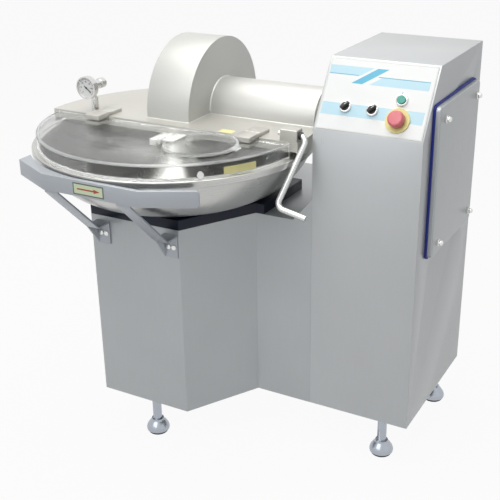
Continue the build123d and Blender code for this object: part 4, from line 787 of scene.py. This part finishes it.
def section_seed(name, points, closed=False):
    """Half section: radius goes along X, height along minus Y, as the sweep lays it."""
    return seed_line(name, [(r, -z, 0) for r, z in points], closed)


print("turning rule ready")

# %% [markdown]
# ## The bowl
# The bowl is a ring-shaped trough round a hub, with a broad flat rim. Its half section is two arcs about
# one centre, the inner for the knives and the outer one wall further, so it is grown here by the turning
# rule with many steps. That gives clean reflections, where a coarse mesh would show its facets.

# %% Bowl
KNIFE_OFFSET = 185.0            # from the bowl's axis to the middle of the trough, in millimetres
KNIFE_RISE = 46.0               # trough centre above the rim
TROUGH_RADIUS = 172.0
WALL = 18.0
RIM_RADIUS = 373.0
RIM_DEPTH = 18.0
RIM_ROUND = 3.0
HUB_DROP = 2.0
BOSS_RADIUS = 100.0
BOWL_STEPS = 176
INNER_STEPS, OUTER_STEPS, EDGE_STEPS = 44, 36, 5
rim_height = bowl_high.z / mm
trough_centre = (KNIFE_OFFSET, rim_height + KNIFE_RISE)
outer_radius = TROUGH_RADIUS + WALL


def angle_at_height(radius, height, right):
    """Angle in degrees at which the trough's circle reaches a height, on its right or left side."""
    drop = trough_centre[1] - height
    side = sqrt(radius ** 2 - drop ** 2)
    lean = degrees(acos(side / radius))
    return 360 - lean if right else 180 + lean


def bowl_section():
    hub_height = rim_height - HUB_DROP
    boss_angle = 180 + degrees(acos((KNIFE_OFFSET - BOSS_RADIUS) / outer_radius))
    boss_height = trough_centre[1] + outer_radius * sin(radians(boss_angle))
    under_rim = rim_height - RIM_DEPTH
    inner = arc(trough_centre, TROUGH_RADIUS, angle_at_height(TROUGH_RADIUS, hub_height, False),
                angle_at_height(TROUGH_RADIUS, rim_height, True), INNER_STEPS)
    top_edge = arc((RIM_RADIUS - RIM_ROUND, rim_height - RIM_ROUND), RIM_ROUND, 90, 0, EDGE_STEPS)
    low_edge = arc((RIM_RADIUS - RIM_ROUND, under_rim + RIM_ROUND), RIM_ROUND, 0, -90, EDGE_STEPS)
    outer = arc(trough_centre, outer_radius, angle_at_height(outer_radius, under_rim, True), boss_angle,
                OUTER_STEPS)
    return [(0, hub_height)] + inner + top_edge + low_edge + outer + [(0, boss_height)]


bowl = turned_body.grow("bowl_turned", section_seed("bowl_section", bowl_section()), bowl_steel,
                        Steps=BOWL_STEPS, Centre=(bowl_axis.x, bowl_axis.y, 0.0), Lean=UPRIGHT)
stand_in(bowl, "bowl")

# %% [markdown]
# ## Nuts, bolts and screws
# The service panels are held by dome nuts, the guard by hexagon bolts, and the white hinge by screws.
# All are one rule with other numbers: a sided prism, a chamfer and a dome. Modelling each by hand would
# repeat the same work, and a bump map would leave their outline flat.

# %% Fastener rule
CAP_STEPS = 24


def fastener_rule():
    rule = Rule("fasteners")
    across = rule.ask("Across")
    height = rule.ask("Height")
    chamfer = rule.ask("Chamfer")
    sides = rule.ask("Sides", "Int")
    cap_width = rule.ask("Cap width")
    cap_neck = rule.ask("Cap neck")
    cap_rise = rule.ask("Cap rise")
    facing = rule.ask("Facing", "Rotation")
    corner = across / 2
    prism = rule.node("GeometryNodeMeshCone", sockets={
        "Vertices": sides, "Radius Top": corner, "Radius Bottom": corner, "Depth": height - chamfer})
    bevel = rule.node("GeometryNodeMeshCone", sockets={
        "Vertices": sides, "Radius Top": corner - chamfer, "Radius Bottom": corner, "Depth": chamfer})
    bevel = rule.transform(bevel, Translation=rule.vector(Z=height - chamfer))
    neck = rule.node("GeometryNodeMeshCylinder", sockets={
        "Vertices": CAP_STEPS, "Radius": cap_width / 2, "Depth": cap_neck})
    neck = rule.transform(neck, Translation=rule.vector(Z=height + cap_neck / 2))
    dome = rule.node("GeometryNodeMeshUVSphere", sockets={
        "Segments": CAP_STEPS, "Rings": CAP_STEPS // 2, "Radius": cap_width / 2})
    dome = rule.transform(dome, Translation=rule.vector(Z=height + cap_neck),
                          Scale=rule.vector(X=1.0, Y=1.0, Z=cap_rise * 2 / cap_width))
    joined = rule.tree.nodes.new("GeometryNodeJoinGeometry")
    for shape in (prism, bevel, neck, dome):
        rule.tree.links.new(shape.socket, joined.inputs[0])
    placed = rule.node("GeometryNodeInstanceOnPoints", sockets={
        "Points": rule.seed, "Instance": Wire(rule, joined.outputs[0]), "Rotation": facing})
    rule.close(placed)
    return rule


fasteners = fastener_rule()
FACING = {"+X": (0, pi / 2, 0), "-X": (0, -pi / 2, 0), "+Y": (-pi / 2, 0, 0), "-Y": (pi / 2, 0, 0),
          "+Z": (0, 0, 0)}


def solids_of(node):
    """Lowest and highest corner of each separate solid of a node in millimetres, always in one order."""
    bm = merged(node)
    boxes = []
    waiting = set(bm.verts)
    while waiting:
        stack = [waiting.pop()]
        found = []
        while stack:
            vertex = stack.pop()
            found.append(vertex.co.copy())
            for edge in vertex.link_edges:
                other = edge.other_vert(vertex)
                if other in waiting:
                    waiting.remove(other)
                    stack.append(other)
        low = Vector([min(co[i] for co in found) for i in range(3)]) / mm
        high = Vector([max(co[i] for co in found) for i in range(3)]) / mm
        boxes.append((low, high))
    bm.free()
    return sorted(boxes, key=lambda box: tuple(box[0]))


def seats(boxes, facing):
    """Middle of each solid's seat for the way it faces."""
    places = []
    for low, high in boxes:
        place = (low + high) / 2
        axis = "XYZ".index(facing[1])
        place[axis] = low[axis] if facing[0] == "+" else high[axis]
        places.append(place)
    return places


def facing_of(box):
    """Panel nuts face out of the wall they sit on."""
    low, high = box
    if low.x < BASE_WALL:
        return "-X"
    return "+X" if low.x > CONSOLE_WALL else "+Y"


def fastener(sides, **sizes):
    """A fastener's inputs from its sizes in millimetres."""
    return {"Sides": sides, **{name: size * mm for name, size in sizes.items()}}


BASE_WALL, CONSOLE_WALL = -300, 500      # nuts beyond these stand on the left and the right wall
CORNERS = 2 / sqrt(3)                    # a hexagon's width over its corners, for 1 over its flats
NUT = fastener(6, Across=17.0 * CORNERS, Height=7.0, Chamfer=1.2, Cap_width=14.2, Cap_neck=3.0, Cap_rise=7.0)
BOLT = fastener(6, Across=13.0 * CORNERS, Height=5.0, Chamfer=0.8, Cap_width=9.0, Cap_neck=0.1, Cap_rise=0.4)
SCREW = fastener(24, Across=8.0, Height=0.8, Chamfer=0.3, Cap_width=6.8, Cap_neck=0.1, Cap_rise=1.2)
nut_boxes = solids_of("panel_dome_nuts")
for facing, wall in (("+X", "console"), ("+Y", "rear"), ("-X", "base")):
    group = [box for box in nut_boxes if facing_of(box) == facing]
    nuts = fasteners.grow("dome_nuts_" + wall, seed_points("nut_seats", seats(group, facing)), bright_steel,
                          Facing=FACING[facing], **NUT)
    stand_in(nuts, "panel_dome_nuts")
bolts = fasteners.grow("guard_bolt_heads", seed_points("bolt_seats", seats(solids_of("guard_bolts"), "-Y")),
                       bright_steel, Facing=FACING["-Y"], **BOLT)
stand_in(bolts, "guard_bolts")

# %% [markdown]
# ## Bars, beads and sleeves
# The locking lever is a bent round bar, and the hood is welded on with a fine bead. Both are a round
# section along a path with rounded corners, so one rule does both. The bead's radius also wanders a
# little along its length, as a hand-laid weld does.

# %% Path rule
BEND_STEPS, BAR_STEPS = 10, 16
BEAD_LUMPS = 260.0                       # uneven places to a metre of weld


def path_rule():
    rule = Rule("round_path")
    radius = rule.ask("Radius")
    bend = rule.ask("Bend")
    unevenness = rule.ask("Unevenness")
    step = rule.ask("Step")
    line = rule.node("GeometryNodeMeshToCurve", sockets={0: rule.seed})
    rounded = rule.node("GeometryNodeFilletCurve", {"mode": "POLY"}, {
        "Curve": line, "Count": BEND_STEPS, "Radius": bend, "Limit Radius": True})
    even = rule.node("GeometryNodeResampleCurve", {"mode": "LENGTH"}, {"Curve": rounded, "Length": step})
    place = rule.node("GeometryNodeInputPosition")
    wander = rule.node("ShaderNodeTexNoise", sockets={"Vector": place, "Scale": BEAD_LUMPS, "Detail": 1.0})
    thickness = radius * (1.0 + (wander - 0.5) * unevenness)
    ring = rule.node("GeometryNodeCurvePrimitiveCircle", sockets={"Resolution": BAR_STEPS, "Radius": 1.0})
    tube = rule.node("GeometryNodeCurveToMesh", sockets={
        "Curve": even, "Profile Curve": ring, "Scale": thickness, "Fill Caps": True})
    rule.close(tube)
    return rule


round_path = path_rule()

# %% Lever
LEVER_PATH = [(150, -48, 889), (228, -48, 889), (191, -146, 735), (270, -146, 718)]
SLEEVE_PATH = [(205.6, -48, 889), (212.5, -48, 889)]
lever = round_path.grow("lever_bar", seed_line("lever_path", LEVER_PATH), satin_rod, Radius=7.5 * mm,
                        Bend=18 * mm, Unevenness=0.0, Step=2.5 * mm)
stand_in(lever, "locking_lever")
sleeve = round_path.grow("lever_sleeve", seed_line("sleeve_path", SLEEVE_PATH), black_plastic,
                         Radius=9.6 * mm, Bend=0.0, Unevenness=0.0, Step=2.0 * mm)
attach(sleeve, "lever")

# %% [markdown]
# ## Weld beads on the cover
# Hood and tube are welded to the cover and to each other with a thin bead, whose steel is lighter than the
# sheet:
# a painted highlight for the thin bright lines along the seams. The path of each follows the edge where the
# parts meet, taken from their boxes.

# %% Weld beads
hood_low, hood_high = box_in_mm("knife_hood")
tube_low, tube_high = box_in_mm("shaft_tube")
SHAFT_Y = 154.0
SHAFT_Z = 882.0
TUBE_RADIUS = 78.0
BEAD, JOINT_BEAD = 1.7, 2.4              # radius of the beads, the thicker one where tube meets hood
JOINT_STEPS = 24
cover_top = hood_low.z


def bead(name, points, closed=False, radius=BEAD):
    piece = round_path.grow(name, seed_line(name + "_path", points, closed), weld_steel, Radius=radius * mm,
                            Bend=2.0 * mm, Unevenness=0.5, Step=3.0 * mm, angle=80.0)
    attach(piece, "cover")


bead("hood_foot_weld", [(hood_low.x, hood_low.y, cover_top), (hood_high.x, hood_low.y, cover_top),
                        (hood_high.x, hood_high.y, cover_top), (hood_low.x, hood_high.y, cover_top)],
     closed=True)
half_turn = [pi * i / JOINT_STEPS for i in range(JOINT_STEPS + 1)]
bead("tube_joint_weld", [(hood_high.x + 1, SHAFT_Y - TUBE_RADIUS * cos(a), SHAFT_Z + TUBE_RADIUS * sin(a))
                         for a in half_turn], radius=JOINT_BEAD)
for side, y in (("front", tube_low.y), ("back", tube_high.y)):
    bead("tube_foot_weld_" + side, [(hood_high.x, y, cover_top), (tube_high.x, y, cover_top)])

# %% [markdown]
# ## The dial
# The thermometer has a white face with a ring of fine ticks and plain numbers from 0 to 120. A picture
# of a dial would blur close up. The ticks are a ring rule with count, radius and sweep as inputs, and
# the numbers are text turned into mesh.

# %% Tick ring rule


def ring_rule():
    rule = Rule("ring_of_bars")
    count = rule.ask("Count", "Int")
    radius = rule.ask("Radius")
    start = rule.ask("Start")
    sweep = rule.ask("Sweep")
    size = rule.ask("Size", "Vector")
    centre = rule.ask("Centre", "Vector")
    lean = rule.ask("Lean", "Rotation")
    index = rule.node("GeometryNodeInputIndex")
    turn = start + sweep * index / (count - 1)
    place = rule.vector(X=rule.maths("COSINE", turn) * radius, Y=rule.maths("SINE", turn) * radius)
    points = rule.node("GeometryNodePoints", sockets={"Count": count, "Position": place})
    turned = rule.node("FunctionNodeEulerToRotation", sockets={0: rule.vector(Z=turn)})
    bar = rule.node("GeometryNodeMeshCube", sockets={"Size": size})
    bars = rule.node("GeometryNodeInstanceOnPoints", sockets={
        "Points": points, "Instance": bar, "Rotation": turned})
    rule.close(rule.transform(bars, Translation=centre, Rotation=lean))
    return rule


ring_of_bars = ring_rule()

# %% Dial face, ticks and numbers
case_low, case_high = box_in_mm("thermometer_case")
CASE_RADIUS = 31.0
DIAL_X = case_low.x + CASE_RADIUS
DIAL_Z = case_high.z - CASE_RADIUS
DIAL_FACE = case_low.y + 4.0             # recess behind the front edge
DIAL_RADIUS = 27.4
PRINT_Y = DIAL_FACE - 0.42               # ticks and numbers lie just before the face
TICK_DEPTH = 0.16
FACE_FRONT = (pi / 2, 0, 0)              # turns a shape that lies flat so that it looks forward
SCALE_START = radians(225)
SCALE_SWEEP = radians(-270)
DIAL_SECTION = [(0, 0.35), (DIAL_RADIUS - 0.3, 0.35), (DIAL_RADIUS, 0.05), (DIAL_RADIUS, 0), (0, 0)]
TICKS = {                                # count, radius, width and length of a tick
    "dial_ticks_fine": (61, 23.8, 0.35, 2.2),
    "dial_ticks_bold": (13, 22.8, 0.8, 4.2),
}
dial_face = turned_body.grow("dial_face", section_seed("dial_section", DIAL_SECTION), dial_white, Steps=64,
                             Centre=(DIAL_X * mm, DIAL_FACE * mm, DIAL_Z * mm), Lean=FACE_FRONT)
for name, (count, reach, width, length) in TICKS.items():
    ticks = ring_of_bars.grow(name, seed_points("none", [(0, 0, 0)]), dial_print, Count=count,
                              Radius=reach * mm, Start=SCALE_START, Sweep=SCALE_SWEEP,
                              Size=(length * mm, width * mm, TICK_DEPTH * mm),
                              Centre=(DIAL_X * mm, PRINT_Y * mm, DIAL_Z * mm), Lean=FACE_FRONT)
    attach(ticks, "cover")
attach(dial_face, "cover")


def flat_text(name, words, height, place):
    """Text laid out about its centre and stood up to look forward, as a mesh at its place."""
    curve = bpy.data.curves.new(name, "FONT")
    curve.body = words
    curve.size = height * mm
    curve.extrude = 0.08 * mm
    curve.align_x = "CENTER"
    curve.align_y = "CENTER"
    text = bpy.data.objects.new(name, curve)
    bpy.context.collection.objects.link(text)
    mesh = evaluated_mesh(text)
    bpy.data.objects.remove(text)
    mesh.transform(Matrix.Translation(Vector(place) * mm) @ Matrix.Rotation(pi / 2, 4, "X"))
    return mesh


def joined(name, meshes, finish):
    """One piece of several meshes."""
    bm = bmesh.new()
    for mesh in meshes:
        bm.from_mesh(mesh)
    return add_piece(name, taken(bm, name), finish)


NUMBERS = range(0, 121, 20)
NUMBER_REACH, NUMBER_HEIGHT = 16.6, 5.6
number_meshes = []
for number in NUMBERS:
    turn = SCALE_START + SCALE_SWEEP * number / NUMBERS[-1]
    spot = (DIAL_X + NUMBER_REACH * cos(turn), PRINT_Y, DIAL_Z + NUMBER_REACH * sin(turn))
    number_meshes.append(flat_text("dial_number", str(number), NUMBER_HEIGHT, spot))
attach(joined("dial_numbers", number_meshes, dial_print), "cover")
print("dial: face, two rings of ticks,", len(NUMBERS), "numbers")

# %% [markdown]
# ## Blank signs
# Three thin signs are stuck on: one bent round the lid's skirt, one flat on the cover and one with an
# arrow on the guard. Each is a patch of its own with a real thickness, laid on the surface that it is
# stuck to by working out points on that surface.

# %% Signs
SIGN_THICKNESS = 0.4
GLUE = 0.05                              # the sticker's distance from what it is stuck to


def sheet_patch(name, place_at, columns, rows, thickness, finish):
    """A patch of quads; place_at(s, t, n) gives a point in millimetres, n is its height over the surface."""
    bm = bmesh.new()
    grid = [[bm.verts.new(Vector(place_at(i / columns, j / rows, thickness)) * mm)
             for i in range(columns + 1)] for j in range(rows + 1)]
    for j in range(rows):
        for i in range(columns):
            bm.faces.new((grid[j][i], grid[j][i + 1], grid[j + 1][i + 1], grid[j + 1][i]))
    shell = bmesh.ops.extrude_face_region(bm, geom=list(bm.faces))
    flat = [Vector(place_at(i / columns, j / rows, 0.0)) * mm
            for j in range(rows + 1) for i in range(columns + 1)]
    for vertex in [item for item in shell["geom"] if isinstance(item, bmesh.types.BMVert)]:
        vertex.co = min(flat, key=lambda point: (point - vertex.co).length)
    bmesh.ops.recalc_face_normals(bm, faces=bm.faces)
    mesh = taken(bm, name)
    smooth(mesh, 30.0)
    return add_piece(name, mesh, finish)


SKIRT_FROM, SKIRT_TO = radians(-38.7), radians(-25.0)
SKIRT_LOW, SKIRT_HIGH = 840.0, 858.0
COVER_LOW, COVER_HIGH = (-18, -63), (22, -39)
GUARD_FRONT = -420.02


def along(low, high, share):
    return low + (high - low) * share


def on_skirt(s, t, n):
    turn = along(SKIRT_FROM, SKIRT_TO, s)
    reach = LID_REACH / mm + GLUE + n
    return (bowl_axis.x / mm + reach * cos(turn), bowl_axis.y / mm + reach * sin(turn),
            along(SKIRT_LOW, SKIRT_HIGH, t))


def on_cover(s, t, n):
    x, y = along(COVER_LOW[0], COVER_HIGH[0], s), along(COVER_LOW[1], COVER_HIGH[1], t)
    return x, y, cover_top + GLUE + n


def on_guard(s, t, n):
    x, z = along(ARROW_LOW.x, ARROW_HIGH.x, s) / mm, along(ARROW_LOW.z, ARROW_HIGH.z, t) / mm
    return x, GUARD_FRONT - n, z


for name, rule, columns, finish, body in (("skirt_sign", on_skirt, 16, sign_yellow, "lid"),
                                          ("cover_sign", on_cover, 2, sign_yellow, "cover"),
                                          ("guard_sign", on_guard, 2, sign_arrow, "machine")):
    attach(sheet_patch(name, rule, columns, 2, SIGN_THICKNESS, finish), body)
print("three signs laid on")

# %% [markdown]
# ## Screws of the white hinge
# The white hinge of the port is held by one screw in each half. The screws come from the fastener rule,
# and their height is found by dropping a ray on the part, which is safer than a copied number.

# %% Hinge screws
SCREW_Y = (-198 - 17, -198 + 17)


def top_of(node, x, y):
    """Height of a node's upper surface over a place, in millimetres."""
    bm = merged(node)
    over_all = Vector((x * mm, y * mm, 2.0))
    hit = BVHTree.FromBMesh(bm).ray_cast(over_all, Vector((0, 0, -1)))[0]
    bm.free()
    return hit.z / mm


for half, x in (("base", -99), ("flap", -56)):
    node = "port_hinge_" + half
    places = [(x, y, top_of(node, x, y) + 0.02) for y in SCREW_Y]
    screws = fasteners.grow(f"hinge_{half}_screws", seed_points("screw_seats", places), bright_steel,
                            Facing=FACING["+Z"], **SCREW)
    attach(screws, body_of[node])

# %% [markdown]
# ## Selector knobs
# A selector is a round base with a tapered handle across it and a white line on one half of the handle's
# top: a pointer mark that also stands for the white highlight on the handle's ridge, a painted highlight.
# The base comes from the turning rule. The handle is two rounded outlines joined by a wall, the upper one
# smaller, which is how a moulded handle leaves its mould.

# %% Selectors
PANEL_NORMAL = Vector((0, -slope.z, slope.y))
SELECTOR_TURN = radians(45)
HANDLE_FROM, HANDLE_TO = -11.0, 14.0
HANDLE_WIDTH = 8.6
HANDLE_FOOT, HANDLE_TOP = 7.6, 17.6      # above the console's face
HANDLE_LEVELS = [(0.0, HANDLE_FOOT), (0.5, HANDLE_TOP - 1.6), (0.9, HANDLE_TOP - 0.5), (1.7, HANDLE_TOP)]
KNOB_RADIUS, KNOB_SINK = 10.8, 4.0
KNOB_SECTION = [(0, -KNOB_SINK), (KNOB_RADIUS, -KNOB_SINK), (KNOB_RADIUS, HANDLE_FOOT - 0.8),
                (KNOB_RADIUS - 0.8, HANDLE_FOOT), (0, HANDLE_FOOT)]
LINE_FROM, LINE_TO, LINE_WIDTH = 2.0, 11.0, 1.3
LINE_LEVELS = [(0.0, HANDLE_TOP - 0.1), (0.0, HANDLE_TOP + 0.15)]


def panel_place(u, v):
    """Frame on the control face: X to the right, Y up the slope, Z out of it."""
    turn = Matrix((Vector((1, 0, 0)), slope, PANEL_NORMAL)).transposed().to_4x4()
    return Matrix.Translation(face_corner + Vector((u * mm, 0, 0)) + slope * v * mm) @ turn


def slot_ring(bm, start, end, width, height, steps=8):
    """Vertices round a slot outline at one height."""
    ring = []
    for centre, first in ((end - width / 2, -90), (start + width / 2, 90)):
        for i in range(steps + 1):
            a = radians(first + 180 * i / steps)
            ring.append(bm.verts.new(Vector((centre + width / 2 * cos(a), width / 2 * sin(a), height)) * mm))
    return ring


def handle_mesh(start, end, width, levels):
    """Stack of slot outlines; levels are (inset, height)."""
    bm = bmesh.new()
    rings = [slot_ring(bm, start + inset, end - inset, width - 2 * inset, height) for inset, height in levels]
    for low, high in zip(rings, rings[1:]):
        for i in range(len(low)):
            j = (i + 1) % len(low)
            bm.faces.new((low[i], low[j], high[j], high[i]))
    bm.faces.new(list(reversed(rings[0])))
    bm.faces.new(rings[-1])
    return taken(bm, "handle")


for node, u, v in (("left_selector", 70, 65), ("right_selector", 139, 64)):
    base = turned_body.grow(node + "_base", section_seed("knob_section", KNOB_SECTION), black_plastic,
                            Steps=48, Centre=(0, 0, 0), Lean=UPRIGHT)
    handle = handle_mesh(HANDLE_FROM, HANDLE_TO, HANDLE_WIDTH, HANDLE_LEVELS)
    handle.transform(Matrix.Rotation(SELECTOR_TURN, 4, "Z"))
    knob = joined(node + "_knob", [base.data, handle], black_plastic)
    bpy.data.objects.remove(base)
    knob.data.transform(panel_place(u, v))
    smooth(knob.data, 40.0)
    stand_in(knob, node)
    # white line on the handle's top: pointer mark and painted highlight of the handle's ridge
    line = handle_mesh(LINE_FROM, LINE_TO, LINE_WIDTH, LINE_LEVELS)
    line.transform(panel_place(u, v) @ Matrix.Rotation(SELECTOR_TURN, 4, "Z"))
    attach(add_piece(node + "_pointer_highlight", line, dial_white), body_of[node])
print("two selectors with pointer lines")

# %% [markdown]
# ## Floor and light
# The machine stands on a plain pale floor under soft studio light. One large lamp above lights the
# tops, a second in front lifts the upright faces, a weak one stands at the right, and a dim world fills
# in. Floor and world look white to the camera, to gloss and through glass, and still keep the shadow.

# %% Floor
WHITE = (1.0, 1.0, 1.0, 1.0)
FLOOR_GREY = (0.62, 0.62, 0.62, 1.0)
FLOOR_BRIGHT = 1.0                       # strength of the white that such rays see
FLOOR_SHINE = 0.94                       # its share, the rest is the lit floor with its shadow


def plain_ray(sheet):
    """1 for rays of the camera, of gloss and through glass."""
    camera_ray, glossy_ray, through_ray = (sheet.node("ShaderNodeLightPath", out=f"Is {kind} Ray")
                                           for kind in ("Camera", "Glossy", "Transmission"))
    return sheet.maths("MINIMUM", camera_ray + glossy_ray + through_ray, 1.0)


def studio_floor():
    finish = Finish("studio_floor", Roughness=0.9)
    finish.set("Base Color", FLOOR_GREY)
    glow = finish.node("ShaderNodeEmission", sockets={
        "Color": WHITE, "Strength": FLOOR_BRIGHT}, out="Emission")
    matt = Wire(finish, finish.shader.outputs["BSDF"])
    blend = finish.node("ShaderNodeMixShader", sockets={
        0: plain_ray(finish) * FLOOR_SHINE, 1: matt, 2: glow}, out="Shader")
    finish.feed(finish.tree.nodes["Material Output"].inputs["Surface"], blend)
    return finish.material


FLOOR_REACH = 9.0
floor_corners = [(x * FLOOR_REACH, y * FLOOR_REACH, 0) for x, y in ((-1, -1), (1, -1), (1, 1), (-1, 1))]
floor_mesh = bpy.data.meshes.new("floor")
floor_mesh.from_pydata(floor_corners, [], [(0, 1, 2, 3)])
add_piece("floor", floor_mesh, studio_floor())

# %% World and lamps
bpy.context.scene.view_settings.view_transform = "Standard"
WORLD_FILL = 0.18
world = bpy.data.worlds.new("studio")
world.use_nodes = True
bpy.context.scene.world = world
sky = Sheet(world.node_tree)
background = world.node_tree.nodes["Background"]
background.inputs["Color"].default_value = WHITE
sky.feed(background.inputs["Strength"], plain_ray(sky) * (1.0 - WORLD_FILL) + WORLD_FILL)


MACHINE_MIDDLE = Vector((0, 0, 0.7))
WARM = (1.0, 0.985, 0.95)
COOL = (0.965, 0.985, 1.0)


def soft_lamp(name, place, width, height, power, colour):
    """A rectangular lamp aimed at the machine; sizes in metres, power in watts."""
    lamp = bpy.data.lights.new(name, "AREA")
    lamp.shape = "RECTANGLE"
    lamp.size = width
    lamp.size_y = height
    lamp.energy = power
    lamp.color = colour
    thing = bpy.data.objects.new(name, lamp)
    aim = (place - MACHINE_MIDDLE).to_track_quat("Z", "Y").to_matrix().to_4x4()
    thing.matrix_world = Matrix.Translation(place) @ aim
    bpy.context.collection.objects.link(thing)


soft_lamp("top_lamp", Vector((-0.3, -0.2, 3.4)), 3.4, 2.6, 82, WARM)
soft_lamp("front_lamp", Vector((-0.6, -3.3, 3.0)), 3.0, 2.4, 40, COOL)
soft_lamp("side_lamp", Vector((3.6, -0.4, 1.8)), 2.4, 2.4, 1, WARM)
print("floor, world and three lamps")
